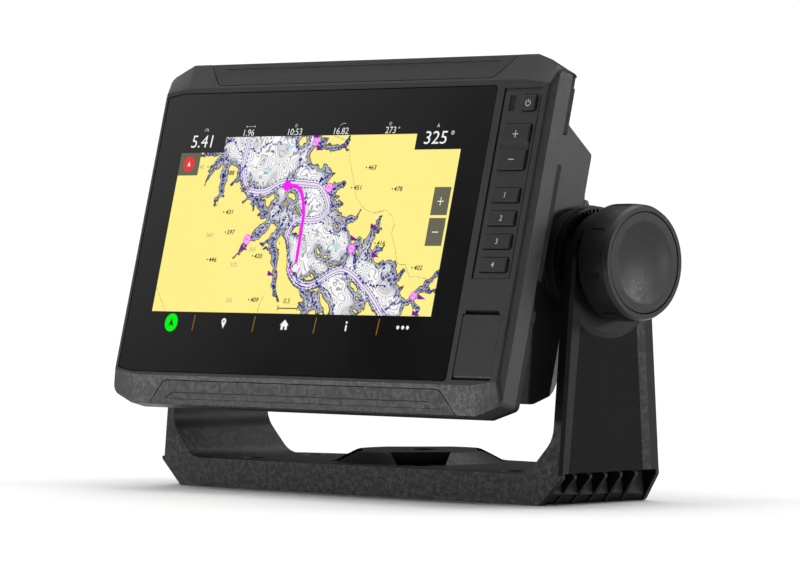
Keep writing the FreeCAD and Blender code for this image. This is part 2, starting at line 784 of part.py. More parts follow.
def keypad_mat():
    """Silicone mat with a hole for each stem."""
    sheet = box((81.0, 102.4), MAT_DEPTH, (-19.0, 53.2))
    holes = [tube_y(KEY_STEM_R + 0.9, (0.0, 20.0), px, pz) for px, pz in switch_places()]
    return cut(sheet, holes)


def key_board():
    """Key circuit board with its dome switches."""
    board = box((82.0, 101.0), KEY_BOARD_DEPTH, (-18.0, 52.6))
    domes = [tube_y(DOME_R, (DOME_DEPTH, KEY_BOARD_DEPTH[0] + 0.1), px, pz) for px, pz in switch_places()]
    return join([board] + domes)


def light_sensor_window():
    """Clear light pipe of the brightness sensor."""
    back = (PLATE_DEPTH, PLATE_DEPTH + 0.6)
    half_w = SENSOR_W / 2 - 0.1
    half_h = SENSOR_H / 2 - 0.1
    pane = box(around(SENSOR_X, half_w), (0.25, back[1]), around(POWER_Z, half_h))
    lip = box(around(SENSOR_X, half_w + 0.9), back, around(POWER_Z, half_h + 0.9))
    return join([pane, lip])


def door_pin_z():
    """Height of the card door's hinge pin."""
    return DOOR_Z[0] + 1.5


def card_door():
    """Hinged cover of the card slots, round about its pin at the lower edge."""
    pin_z = door_pin_z()
    eye_r = DOOR_DEPTH[1] - DOOR_PIN_DEPTH
    plate = rounded_y(DOOR_X, (pin_z, DOOR_Z[1]), DOOR_DEPTH, 0.8)
    root = box(DOOR_X, (DOOR_PIN_DEPTH - eye_r, DOOR_DEPTH[1]), (pin_z, pin_z + 3.0))
    eye = tube_x(eye_r, DOOR_X, DOOR_PIN_DEPTH, pin_z)
    bore = tube_x(DOOR_PIN_R + 0.05, (DOOR_X[0] - 1.0, DOOR_X[1] + 1.0), DOOR_PIN_DEPTH, pin_z)
    lip_depth = (DOOR_DEPTH[1] - 0.1, DOOR_DEPTH[1] + 1.0)
    lip = box((DOOR_X[0] + 0.7, READER_X[1] - 1.0), lip_depth, (-44.0, -40.5))
    return cut(join([plate, root, eye, lip]), [bore])


def card_door_pin():
    """Steel hinge pin of the card door."""
    return tube_x(DOOR_PIN_R, (DOOR_X[0] - 2.0, DOOR_X[1] + 2.0), DOOR_PIN_DEPTH, door_pin_z())


# ---------------------------------------------------------------- quick-release cradle

def cradle_outline(inset=0.0, mouth=0.0):
    """Side view (depth, height) of the cradle, taken in by the wall where it is hollow."""
    front = CRADLE_FRONT - mouth
    back = CRADLE_BACK - inset
    return [
        (front, 53.8 - inset * 1.1), (CRADLE_TOP_BACK - inset, 39.3 - inset * 0.9),
        (CRADLE_TOP_BACK - inset, 23.5 - inset * 0.4), (back, 16.5 - inset * 0.4),
        (back, -48.3 + inset * 0.4), (46.8 - inset * 0.6, -51.6 + inset * 0.8),
        (33.0, -60.0 + inset), (front, -60.3 + inset),
    ]


def cradle_blank():
    """Cradle with its slanted rear side edges."""
    body = slab_x(cradle_outline(), around(0.0, CRADLE_HALF_W), CRADLE_CORNERS_R)
    side = CRADLE_HALF_W
    across, deep = CRADLE_CHAMFER
    inner = side - across
    corner = [(side + 1.0, CRADLE_BACK - deep - 1.0), (side, CRADLE_BACK - deep), (inner, CRADLE_BACK),
              (inner, CRADLE_BACK + 1.0), (side + 1.0, CRADLE_BACK + 1.0)]
    tools = []
    for sign in (1, -1):
        wire = loop([Vec(sign * px, py, -80.0) for px, py in corner])
        tools.append(Part.Face(wire).extrude(Vec(0, 0, 160.0)))
    return cut(body, tools)


def cradle_boss(side):
    """Round boss that carries the tilt axis, faired into the back of the cradle."""
    core = tube_x(BOSS_R, (BOSS_INNER_X, BOSS_OUTER_X), PIVOT_DEPTH, PIVOT_UP)
    rim = tube_x(BOSS_FLANGE_R, (BOSS_OUTER_X - 0.01, BOSS_FLANGE_X), PIVOT_DEPTH, PIVOT_UP)
    wide = BOSS_R + 4.5
    narrow = BOSS_R - 2.1
    ends = [(CRADLE_BACK - 5.0, wide), (CRADLE_BACK, wide), (PIVOT_DEPTH + 9.0, narrow)]
    outline = [(depth, PIVOT_UP + up) for depth, up in ends]
    outline += [(depth, PIVOT_UP - up) for depth, up in reversed(ends)]
    fair = slab_x(outline, (BOSS_INNER_X, CRADLE_HALF_W - CRADLE_CHAMFER[0]))
    return mirrored(join([core, rim, fair]), side)


def latch_slope():
    """Slope of the cradle's top in degrees."""
    (y0, z0), (y1, z1) = cradle_outline()[0:2]
    return math.degrees(math.atan2(z0 - z1, y1 - y0))


def latch_frame(shape):
    """Lay a shape drawn on a level top on to the cradle's sloping top, at the latch's pin."""
    laid = shape.copy()
    laid.rotate(Vec(0, 0, 0), Vec(1, 0, 0), -latch_slope())
    laid.translate(Vec(0, LATCH_PIN_DEPTH, LATCH_PIN_UP))
    return laid


def latch_well():
    """Opening in the cradle's top that the release lever sits in."""
    length = (-LATCH_AHEAD - LATCH_GAP, LATCH_BEHIND + LATCH_GAP)
    return latch_frame(box(around(0.0, LATCH_HALF_W + LATCH_GAP), length, (-5.0, 8.0)))


def latch_ears():
    """Lugs at both ends of the well that hold the lever's pin."""
    centre = LATCH_HALF_W + LATCH_GAP + 3.0
    return [latch_frame(box(around(sign * centre, 2.6), (-2.8, 3.6), (-4.4, 1.0))) for _, sign in SIDES]


def pivot_bores(side):
    """Seat of the threaded insert and the stud's way through the cradle's wall."""
    seat = tube_x(INSERT_R, (INSERT_INNER_X, BOSS_FLANGE_X + 1.0), PIVOT_DEPTH, PIVOT_UP)
    way = tube_x(STUD_HOLE_R, (BOSS_INNER_X - 2.0, INSERT_INNER_X + 1.0), PIVOT_DEPTH, PIVOT_UP)
    return [mirrored(seat, side), mirrored(way, side)]


def cradle_shell():
    """Moulded cradle that holds the display and carries the tilt bosses."""
    body = join([cradle_blank()] + [cradle_boss(sign) for _, sign in SIDES])
    hollow = slab_x(cradle_outline(CRADLE_WALL, 2.0), around(0.0, CRADLE_HALF_W - CRADLE_WALL))
    core = tube_x(INSERT_R + 5.0, (BOSS_INNER_X + 1.0, BOSS_OUTER_X), PIVOT_DEPTH, PIVOT_UP)
    hollow = cut(hollow, [mirrored(core, sign) for _, sign in SIDES])
    body = join([cut(body, [hollow, latch_well()])] + latch_ears())
    back = (CRADLE_BACK - 8.0, CRADLE_BACK + 2.0)
    drill = [latch_pin(), tube_y(CONNECTOR_R + 3.0, back, CONNECTOR_X, CONNECTOR_Z)]
    for _, sign in SIDES:
        drill += pivot_bores(sign)
    drill += [tube_y(SOCKET_SHELL_R + 0.15, back, px, CONNECTOR_Z) for px in SOCKETS_X]
    return cut(body, drill)


def cradle_connector():
    """Contact block of the cradle, with the two cable sockets that are wired to it."""
    back = CRADLE_BACK - CRADLE_WALL
    end = CRADLE_BACK + SOCKET_STICKS_OUT
    plate = box((-46.0, 46.0), (back - 1.6, back), around(CONNECTOR_Z, 13.0))
    cup = tube_y(CONNECTOR_R + 2.8, (TUB_DEPTH + 1.2, CRADLE_BACK), CONNECTOR_X, CONNECTOR_Z)
    shells = [tube_y(SOCKET_SHELL_R, (back - 1.0, end), px, CONNECTOR_Z) for px in SOCKETS_X]
    body = join([plate, cup] + shells)
    tools = [tube_y(CONNECTOR_R + 0.4, (0.0, TUB_DEPTH + 5.5), CONNECTOR_X, CONNECTOR_Z)]
    tools += [tube_y(CONTACT_R + 0.25, (TUB_DEPTH + 5.0, TUB_DEPTH + 8.0), px, pz)
              for px, pz in contact_places()]
    tools += [tube_y(SOCKET_BORE_R, (back + 1.0, end + 1.0), px, CONNECTOR_Z) for px in SOCKETS_X]
    return cut(body, tools)


def socket_contacts():
    """Brass pins in the two cable sockets."""
    floor = CRADLE_BACK - CRADLE_WALL + 1.0
    group = []
    for px in SOCKETS_X:
        for index in range(SOCKET_PINS):
            angle = 2 * math.pi * index / SOCKET_PINS
            x = px + SOCKET_PIN_RING_R * math.cos(angle)
            z = CONNECTOR_Z + SOCKET_PIN_RING_R * math.sin(angle)
            group.append(tube_y(SOCKET_PIN_R, (floor, CRADLE_BACK + 1.5), x, z))
    return Part.makeCompound(group)


def latch_lever():
    """Release lever on top of the cradle: a nose at the front and a ribbed thumb pad behind."""
    x = around(0.0, LATCH_HALF_W)
    end = LATCH_BEHIND
    plate = box(x, (-LATCH_AHEAD, end), (-1.6, 1.5))
    pad = slab_x([(2.5, 1.4), (4.0, 4.0), (end, 4.6), (end, 1.4)], x)
    ribs = [box(x, around(4.6 + 1.6 * index, 0.35), (3.8, 5.1)) for index in range(3)]
    body = join([plate, pad, tube_x(LATCH_EYE_R, x)] + ribs)
    bore = tube_x(LATCH_PIN_R + 0.05, around(0.0, LATCH_HALF_W + 1.0))
    spring_gap = box((-5.0, 5.0), (-LATCH_EYE_R - 0.1, 2.4), (-4.0, 3.0))
    return latch_frame(cut(body, [bore, spring_gap]))


def latch_pin():
    """Steel hinge pin of the release lever."""
    return latch_frame(tube_x(LATCH_PIN_R, around(0.0, LATCH_HALF_W + 5.0)))


def latch_spring():
    """Torsion spring on the hinge pin, as rings joined by a bar."""
    ring_r = LATCH_PIN_R + SPRING_WIRE_R + 0.12
    first = -(SPRING_TURNS - 1) / 2
    rings = [Part.makeTorus(ring_r, SPRING_WIRE_R, Vec(first + index, 0, 0), Vec(1, 0, 0))
             for index in range(SPRING_TURNS)]
    bar = box((first, -first), around(0.0, 0.2), around(-ring_r, 0.15))
    return latch_frame(join(rings + [bar]))


def pivot_insert(side):
    """Brass threaded insert in the cradle's boss."""
    sleeve = tube_x(INSERT_R, (INSERT_INNER_X, BOSS_FLANGE_X - 0.4), PIVOT_DEPTH, PIVOT_UP)
    bore = tube_x(STUD_BORE_R, (INSERT_INNER_X - 1.0, BOSS_FLANGE_X), PIVOT_DEPTH, PIVOT_UP)
    return mirrored(sleeve.cut(bore), side)


def ratchet_disc(side):
    """Toothed locking disc fixed to the cradle's boss."""
    inner, outer = RATCHET_X
    teeth = []
    for index in range(TEETH):
        tooth = box((outer - 0.1, outer + TOOTH_H), around(0.0, TOOTH_W / 2), TOOTH_R)
        tooth.rotate(Vec(0, 0, 0), Vec(1, 0, 0), 360.0 * index / TEETH)
        teeth.append(tooth)
    body = join([tube_x(RATCHET_R, RATCHET_X)] + teeth)
    body = cut(body, [tube_x(STUD_HOLE_R, (inner - 1.0, outer + 2.0))])
    body.translate(Vec(0, PIVOT_DEPTH, PIVOT_UP))
    return mirrored(body, side)


# ---------------------------------------------------------------- bail bracket and swivel

def tangent_point(point, turn):
    """Where a line from the point touches the round top of an arm."""
    dy = point[0] - PIVOT_Y
    dz = point[1] - PIVOT_Z
    distance = math.hypot(dy, dz)
    angle = math.atan2(dz, dy) + turn * math.acos(ARM_TOP_R / distance)
    return (PIVOT_Y + ARM_TOP_R * math.cos(angle), PIVOT_Z + ARM_TOP_R * math.sin(angle))


def arm_outline():
    """Side view of an arm below its round top."""
    front = tangent_point(ARM_FRONT_FOOT, -1)
    back = tangent_point(ARM_BACK_FOOT, 1)
    return [ARM_FRONT_FOOT, front, (PIVOT_Y, PIVOT_Z), back, ARM_BACK_FOOT]


def gusset():
    """Sloping fillet between the base and the inside of an arm."""
    foot = BASE_TOP - 1.0
    inside = ARM_INNER_X + 1.0
    near = GUSSET_X - GUSSET_R
    high = GUSSET_Z + GUSSET_R
    outline = [(near, foot), (near, BASE_TOP), (GUSSET_X, BASE_TOP), (ARM_INNER_X, GUSSET_Z),
               (ARM_INNER_X, high), (inside, high), (inside, foot)]
    body = slab_y(outline, (BASE_FRONT, BASE_SIDE_BACK), [0.0, 0.0, GUSSET_R, GUSSET_R, 0.0, 0.0, 0.0])
    return body.common(slab_x(arm_outline(), (near - 1.0, ARM_OUTER_X)))


def front_edge():
    """Long wedge that takes the corner off an arm where its front meets its outside."""
    out = ARM_OUTER_X + 0.1
    sections = []
    for y, z in (ARM_FRONT_FOOT, tangent_point(ARM_FRONT_FOOT, -1)):
        corner = [(ARM_OUTER_X - ARM_EDGE, -0.1), (out, -0.1), (out, ARM_EDGE)]
        sections.append(loop([Vec(px, y + off, z) for px, off in corner]))
    return Part.makeLoft(sections, True, True)


def arm_blank():
    """Right arm with the boss rings for the tilt lock."""
    x = (ARM_INNER_X, ARM_OUTER_X)
    blade = join([slab_x(arm_outline(), x), tube_x(ARM_TOP_R, x, PIVOT_Y, PIVOT_Z)])
    blade = blade.common(box(x, (BASE_FRONT, BASE_MID_BACK), (0.0, ARM_FLAT_Z)))
    hub = tube_x(ARM_HUB_R, x, PIVOT_Y, PIVOT_Z)
    inner = tube_x(ARM_INNER_BOSS_R, (ARM_INNER_X - 1.5, ARM_INNER_X + 1.0), PIVOT_Y, PIVOT_Z)
    outer = tube_x(ARM_OUTER_BOSS_R, (ARM_OUTER_X - 1.0, KNOB_BACK_X - 0.3), PIVOT_Y, PIVOT_Z)
    return join([blade, hub, inner, outer, gusset()]).cut(front_edge())


def arm_panel():
    """Sunk field on the outside of an arm, with a sloping rear wall."""
    floor = ARM_OUTER_X - PANEL_SINK
    foot_y = ARM_BACK_FOOT[0] - 8.0
    top_y = tangent_point(ARM_BACK_FOOT, 1)[0] - 7.0
    front = [(ARM_FRONT_FOOT[0] + 4.6, BASE_TOP), (tangent_point(ARM_FRONT_FOOT, -1)[0] + 4.6, PANEL_TOP_Z)]
    outline = front + [(top_y, PANEL_TOP_Z), (foot_y, BASE_TOP)]
    wide = PANEL_KNOB_R + PANEL_TOP_SLOPE
    narrow = PANEL_KNOB_R - PANEL_TOP_SLOPE * 0.1
    under_knob = Part.makeCone(wide, narrow, PANEL_SINK * 1.1, Vec(floor, PIVOT_Y, PIVOT_Z), Vec(1, 0, 0))
    field = slab_x(outline, (floor, ARM_OUTER_X + 1.0)).cut(under_knob)
    wall = [(ARM_OUTER_X + 0.01, 3.6), (floor, 0.0), (ARM_OUTER_X + 0.01, 0.0)]
    sections = []
    for y, z in ((foot_y - 0.05, BASE_TOP), (top_y - 0.05, PANEL_TOP_Z)):
        sections.append(loop([Vec(px, y + off, z) for px, off in wall]))
    ramp = Part.makeLoft(sections, True, True).cut(under_knob)
    return [field, ramp]


def base_outline():
    """Plan of the base: straight front and a rear edge that bows out round the swivel."""
    side = ARM_OUTER_X
    bow = side - 14.0
    corners = [Vec(-bow, BASE_SIDE_BACK, 0), Vec(-side, BASE_SIDE_BACK, 0), Vec(-side, BASE_FRONT, 0),
               Vec(side, BASE_FRONT, 0), Vec(side, BASE_SIDE_BACK, 0), Vec(bow, BASE_SIDE_BACK, 0)]
    edges = [Part.LineSegment(start, end).toShape() for start, end in zip(corners, corners[1:])]
    edges.append(Part.Arc(corners[-1], Vec(0, BASE_MID_BACK, 0), corners[0]).toShape())
    return Part.Face(Part.Wire(edges))


def chamfered_bar(inset):
    """Bar with sloping lower corners that lean in more at the front than at the back."""
    wires = []
    for y, half in zip((BASE_FRONT - 1.0, BASE_SIDE_BACK + 1.0), BASE_HALF_W):
        side = ARM_OUTER_X - inset
        outline = both_sides([(side, BASE_TOP + 3.0), (side, KNEE_Z), (half - inset, 0.0)])
        knee, foot = KNEE_RADII
        points = [Vec(px, y, pz) for px, pz in outline]
        wires.append(soft_loop(points, [0.0, knee, foot, foot, knee, 0.0]))
    return Part.makeLoft(wires, True, True)


def base_blank():
    """Base bar with its sloping lower corners."""
    plan = base_outline().extrude(Vec(0, 0, BASE_TOP))
    middle = box(around(0.0, 90.0), (BASE_SIDE_BACK, BASE_MID_BACK + 1.0), (0.0, BASE_TOP))
    return plan.common(join([chamfered_bar(0.0), middle]))


def swivel_dome():
    """Low dome over the swivel, faired into the base with a soft foot."""
    foot = DOME_FOOT_R
    profile = [(0.0, BASE_TOP - 1.0), (foot + 2.0, BASE_TOP - 1.0), (foot + 2.0, BASE_TOP),
               (foot - 0.6, BASE_TOP + 0.5), (DOME_TOP_R + 0.6, DOME_Z - 0.35),
               (DOME_TOP_R - 0.6, DOME_Z), (0.0, DOME_Z)]
    return spin_z(profile)


def dome_pockets():
    """Four screw pockets in the flank of the dome, on its diagonals."""
    near, far = POCKET_REACH
    wide, narrow = POCKET_HALF_W
    outline = [(near, -wide), (far, -narrow), (far, narrow), (near, wide)]
    tools = []
    for index in range(4):
        wire = loop([Vec(px, py, BASE_TOP) for px, py in outline])
        pocket = Part.Face(wire).extrude(Vec(0, 0, 10.0))
        hole = tube_z(3.6, (0.0, BASE_TOP + 1.0), SWIVEL_PCD / 2, 0.0)
        for tool in (pocket, hole):
            tool.rotate(Vec(0, 0, 0), Vec(0, 0, 1), 45.0 + 90.0 * index)
            tools.append(tool)
    return tools


def wing_hollows(side):
    """Open cells under one half of the base, with cross ribs between them."""
    y = (BASE_FRONT + BASE_WALL, BASE_SIDE_BACK - BASE_WALL)
    bosses = [tube_z(END_BOSS_R, (-1.0, BASE_TOP), END_HOLE_X, py) for py in END_HOLE_Y]
    cells = []
    for index in range(WING_CELLS):
        x0 = WING_FIRST_X + WING_PITCH * index
        cell = box((x0, x0 + WING_CELL_W), y, (-1.0, BASE_TOP - BASE_WALL))
        cells.append(mirrored(cell.cut(bosses), side))
    return cells


def corner_pockets(side):
    """Pockets between the ribs at the outer lower corner, each above a lip that is set in a little."""
    ribs = [RIB_FIRST_Y + RIB_PITCH * index for index in range(CORNER_RIBS)]
    starts = [BASE_FRONT + BASE_WALL] + [rib + RIB_T / 2 for rib in ribs]
    ends = [rib - RIB_T / 2 for rib in ribs] + [BASE_SIDE_BACK - 1.8]
    inside = chamfered_bar(CORNER_LIP_IN)
    tools = []
    for y in zip(starts, ends):
        pocket = box((CORNER_POCKET_X, ARM_OUTER_X + 3.0), y, CORNER_POCKET_Z)
        lip = box((BASE_HALF_W[0] - 4.0, ARM_OUTER_X + 3.0), y, (0.6, CORNER_POCKET_Z[0] + 1.0)).cut(inside)
        tools += [mirrored(pocket, side), mirrored(lip, side)]
    return tools


def end_holes(side):
    """Countersunk screw holes at one end of the base."""
    tools = []
    for py in END_HOLE_Y:
        tools.append(tube_z(END_HOLE_R, (-1.0, BASE_TOP + 1.0), side * END_HOLE_X, py))
        sink = Part.makeCone(END_HOLE_R, END_SINK_R, 2.8, Vec(side * END_HOLE_X, py, BASE_TOP - 2.7))
        tools.append(sink)
    return tools


def bail_bracket():
    """One-piece moulded bracket: base bar, dome and two arms."""
    base = join([base_blank(), swivel_dome()])
    seat = tube_z(SWIVEL_R + SWIVEL_GAP, (-1.0, SWIVEL_TOP + SWIVEL_GAP))
    base = cut(base, [seat] + dome_pockets())
    body = join([base] + [mirrored(arm_blank(), sign) for _, sign in SIDES])
    tools = [tube_z(SWIVEL_RECESS_R, (SWIVEL_RECESS_Z, DOME_Z + 1.0)),
             tube_z(SWIVEL_SCREW_R + 0.3, (0.0, DOME_Z))]
    for _, sign in SIDES:
        tools += wing_hollows(sign) + corner_pockets(sign) + end_holes(sign)
        tools += [mirrored(tool, sign) for tool in arm_panel()]
        tools.append(mirrored(tube_x(STUD_HOLE_R, (95.0, 120.0), PIVOT_Y, PIVOT_Z), sign))
    return cut(body, tools)


def swivel_base():
    """Round base plate that is screwed down and that the bracket turns on."""
    edge = 1.0
    plate = spin_z([(0.0, 0.0), (SWIVEL_R, 0.0), (SWIVEL_R, SWIVEL_TOP - edge),
                    (SWIVEL_R - edge, SWIVEL_TOP), (0.0, SWIVEL_TOP)])
    tools = [tube_z(SWIVEL_SCREW_R, (2.0, SWIVEL_TOP + 1.0))]
    for index in range(4):
        angle = math.radians(45.0 + 90.0 * index)
        px = SWIVEL_PCD / 2 * math.cos(angle)
        py = SWIVEL_PCD / 2 * math.sin(angle)
        tools.append(tube_z(SWIVEL_HOLE_R, (-1.0, SWIVEL_TOP + 1.0), px, py))
        tools.append(Part.makeCone(SWIVEL_HOLE_R, 4.4, 2.2, Vec(px, py, SWIVEL_TOP - 2.1)))
    return cut(plate, tools)


def swivel_washer():
    """Steel washer under the head of the swivel screw."""
    ring = tube_z(SWIVEL_WASHER_R, (SWIVEL_RECESS_Z, SWIVEL_RECESS_Z + SWIVEL_WASHER_T))
    return ring.cut(tube_z(SWIVEL_SCREW_R + 0.2, (0.0, DOME_Z)))


def swivel_screw():
    """Screw that holds the bracket down on the swivel base."""
    seat = SWIVEL_RECESS_Z + SWIVEL_WASHER_T
    head = spin_z([(0.0, seat), (4.6, seat), (4.6, seat + 1.4), (3.6, seat + 2.3), (0.0, seat + 2.3)])
    shank = tube_z(SWIVEL_SCREW_R, (2.4, seat + 0.1))
    slots = [box(around(0.0, a), around(0.0, b), (seat + 1.1, seat + 3.0))
             for a, b in ((2.4, 0.5), (0.5, 2.4))]
    return cut(join([head, shank]), slots)


# ---------------------------------------------------------------- knobs

def hexagon(radius, x):
    """Hexagonal bar along X."""
    angles = [math.pi * k / 3 for k in range(6)]
    return slab_x([(radius * math.cos(a), radius * math.sin(a)) for a in angles], x)


def knob_barrel():
    """Knob without its grip notches: a barrel, hollow from the back, with a seat for the cap."""
    back, front = KNOB_BACK_X, KNOB_FRONT_X
    hub = 13.0
    wall = 18.6
    seat_r = KNOB_CAP_R + KNOB_CAP_GAP
    seat_x = front - KNOB_CAP_T
    return spin_x([
        (back, STUD_R), (back, hub), (back + 6.0, hub), (back + 6.0, wall), (back, wall),
        (back, KNOB_R - 0.8), (back + 0.8, KNOB_R - 0.1), (back + 6.0, KNOB_R), (back + 9.0, KNOB_R - 0.05),
        (front - 1.6, KNOB_R - 0.35), (front, KNOB_RIM_R), (front, seat_r), (seat_x, seat_r),
        (seat_x, STUD_R),
    ])


def knob_body(side):
    """Barrel-shaped knob with a rim, a seat for the cap and shallow grip notches."""
    tools = [hexagon(STUD_HEX_R + 0.1, (KNOB_FRONT_X - 8.4, KNOB_FRONT_X))]
    for index in range(KNOB_NOTCHES):
        notch = box((KNOB_BACK_X + 2.6, KNOB_BACK_X + 10.4), around(0.0, 1.1), (KNOB_R - 0.4, KNOB_R + 2.0))
        notch.rotate(Vec(0, 0, 0), Vec(1, 0, 0), 360.0 * index / KNOB_NOTCHES + 12.0)
        tools.append(notch)
    return mirrored(at_pivot(cut(knob_barrel(), tools)), side)


def knob_cap(side):
    """Dished cap pressed into the knob."""
    front = KNOB_FRONT_X
    back = front - KNOB_CAP_T
    shares = [index / 6 for index in range(7)]
    dish = [(front - KNOB_DISH_DEPTH * (1.0 - 0.9 * share ** 2), KNOB_DISH_R * share) for share in shares]
    rim = [(front - 0.1, KNOB_DISH_R + 1.1), (front - 0.1, KNOB_CAP_R - 0.3), (front - 0.4, KNOB_CAP_R)]
    return mirrored(at_pivot(spin_x([(back, 0.0)] + dish + rim + [(back, KNOB_CAP_R)])), side)


def knob_stud(side):
    """Steel stud moulded into the knob."""
    shank = tube_x(STUD_R, (INSERT_INNER_X + 1.0, KNOB_FRONT_X - 8.0))
    head = hexagon(STUD_HEX_R, (KNOB_FRONT_X - 8.4, KNOB_FRONT_X - KNOB_CAP_T - 0.1))
    return mirrored(at_pivot(join([shank, head])), side)


# ---------------------------------------------------------------- all nodes

def display_nodes():
    """Every piece of the display, in the head's own frame."""
    nodes = {
        "front_bezel": front_bezel(),
        "top_trim": trim_piece(1),
        "bottom_trim": trim_piece(-1),
        "glass_lens": glass_lens(),
        "lens_tape": lens_tape(),
        "lcd_panel": lcd_panel(),
        "lcd_frame": lcd_frame(),
        "light_sensor_window": light_sensor_window(),
        "keypad_mat": keypad_mat(),
        "key_board": key_board(),
        "main_board": main_board(),
        "board_screws": board_screws(),
        "processor_shield": processor_shield(),
        "heat_spreader": heat_spreader(),
        "gnss_antenna": gnss_antenna(),
        "beeper": beeper(),
        "card_reader": card_reader(),
        "head_connector": head_connector(),
        "case_seal": case_seal(),
        "rear_case": rear_case(),
        "case_screws": case_screws(),
        "card_door": card_door(),
        "card_door_pin": card_door_pin(),
        "power_key": power_key(),
        "zoom_rocker": zoom_rocker(),
    }
    for index in range(len(key_centres())):
        nodes["key_%d" % (index + 1)] = numbered_key(index)
    return nodes


def cradle_nodes():
    """Every piece of the cradle, in the head's own frame."""
    nodes = {
        "cradle_shell": cradle_shell(),
        "cradle_connector": cradle_connector(),
        "socket_contacts": socket_contacts(),
        "latch_lever": latch_lever(),
        "latch_pin": latch_pin(),
        "latch_spring": latch_spring(),
    }
    for name, sign in SIDES:
        nodes["pivot_insert_" + name] = pivot_insert(sign)
        nodes["ratchet_disc_" + name] = ratchet_disc(sign)
    return nodes


def mount_nodes():
    """Every piece of the bail mount, in the world frame."""
    nodes = {
        "bail_bracket": bail_bracket(),
        "swivel_base": swivel_base(),
        "swivel_washer": swivel_washer(),
        "swivel_screw": swivel_screw(),
    }
    for name, sign in SIDES:
        nodes["knob_body_" + name] = knob_body(sign)
        nodes["knob_cap_" + name] = knob_cap(sign)
        nodes["knob_stud_" + name] = knob_stud(sign)
    return nodes


def all_nodes():
    """Every node at rest in the world frame."""
    nodes = mount_nodes()
    for name, shape in {**display_nodes(), **cradle_nodes()}.items():
        nodes[name] = into_world(shape)
    return nodes


for name, shape in all_nodes().items():
    shape.exportStep("parts/" + name + ".step")
    print("%-22s solids %2d valid %s volume %.0f" % (name, len(shape.Solids), shape.isValid(), shape.Volume))
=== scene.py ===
import bmesh
import bpy
import json
import math
import numpy as np
from mathutils import Matrix, Vector

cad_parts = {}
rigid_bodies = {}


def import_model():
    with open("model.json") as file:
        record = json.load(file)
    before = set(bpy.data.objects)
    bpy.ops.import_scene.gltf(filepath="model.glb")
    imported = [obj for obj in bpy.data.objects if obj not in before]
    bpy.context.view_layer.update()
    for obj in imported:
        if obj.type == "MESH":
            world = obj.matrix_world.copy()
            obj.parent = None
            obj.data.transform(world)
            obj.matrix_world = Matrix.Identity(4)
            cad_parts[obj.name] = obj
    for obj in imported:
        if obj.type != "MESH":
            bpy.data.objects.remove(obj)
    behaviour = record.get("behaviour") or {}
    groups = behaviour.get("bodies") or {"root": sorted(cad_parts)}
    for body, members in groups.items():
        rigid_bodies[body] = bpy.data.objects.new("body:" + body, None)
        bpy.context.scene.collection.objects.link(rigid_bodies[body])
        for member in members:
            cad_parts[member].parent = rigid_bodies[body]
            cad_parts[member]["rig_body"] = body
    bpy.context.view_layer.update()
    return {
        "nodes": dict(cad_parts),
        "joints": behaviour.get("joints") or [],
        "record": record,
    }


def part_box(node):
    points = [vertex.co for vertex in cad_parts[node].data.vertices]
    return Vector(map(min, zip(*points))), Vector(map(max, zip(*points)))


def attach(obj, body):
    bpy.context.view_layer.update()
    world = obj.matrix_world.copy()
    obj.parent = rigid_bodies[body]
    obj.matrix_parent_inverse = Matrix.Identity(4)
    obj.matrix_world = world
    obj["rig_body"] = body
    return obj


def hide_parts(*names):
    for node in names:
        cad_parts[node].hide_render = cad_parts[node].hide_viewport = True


# Looks of a 7 inch chartplotter display on its bail mount.
# Lengths are in metres in the CAD model's frame. Details on the display are drawn in
# millimetres in the display's own frame: x across, depth behind the front face, up the screen.

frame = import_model()
JOINTS = {joint["name"]: joint for joint in frame["joints"]}

MM = 0.001
PIVOT_DEPTH = 46.0
PIVOT_UP = -1.5
SCREEN_W = 154.2
SCREEN_H = 85.9
SCREEN_X = -12.25

# Mouldings: bevel segments, the bend in degrees that counts as an edge, and bevel widths in millimetres.
EDGE_SEGMENTS = 2
EDGE_BEND = 14.0
SOFT_EDGES = {
    "front_bezel": 0.35, "top_trim": 0.3, "bottom_trim": 0.3, "rear_case": 0.5, "card_door": 0.3,
    "power_key": 0.35, "zoom_rocker": 0.35, "key_1": 0.35, "key_2": 0.35, "key_3": 0.35, "key_4": 0.35,
    "cradle_shell": 0.5, "latch_lever": 0.4, "bail_bracket": 0.5, "swivel_base": 0.3,
    "knob_body_right": 0.35, "knob_body_left": 0.35, "knob_cap_right": 0.25, "knob_cap_left": 0.25,
}
# Mouldings behind the display that take a darker plastic than their slot's, as painted shade between the
# parts.
SHADED = ("rear_case", "latch_lever")

# A sunk field of an arm: how far it lies inside the bracket's box, and its least area in square metres.
FIELD_SINK = (2.5 * MM, 3.2 * MM)
FIELD_AREA = 1e-6

# Plastics: clouds of tone, and the coarser pebble under the grain, which also moves the gloss.
CLOUD_SCALE = 55.0
MOTTLE = 0.10
PEBBLE_SCALE = 0.34
PEBBLE_HEIGHT = 0.7
GLOSS_SWING = 0.05
GRAIN_STRENGTH = 0.4

# Depths of what is drawn on the display, behind its front face or minus in front of it, and the
# step outwards from one layer to the next.
CHART_DEPTH = 0.11
OVERLAY_DEPTH = 0.08
OVERLAY_LIFT = 0.004
LEGEND_DEPTH = -0.925

# Middle of the key column across the display.
KEY_X = 92.7

# The chart's edges on the screen and the size of its grid.
MAP_LOW = 8.7
MAP_TOP = 80.1
BLOCK_LOW = 73.8
LEFT_BLOCK = 24.3
RIGHT_BLOCK = 129.8
GRID = 0.4
GRID_SLACK = 0.01
FAR = 1e3

# Lines on the water: the violet pair and the dashes from the channel's middle, and the inshore dashes.
LANE_GAP = 0.62
FAIRWAY_HALF = 1.5
INSHORE_GAP = 1.25

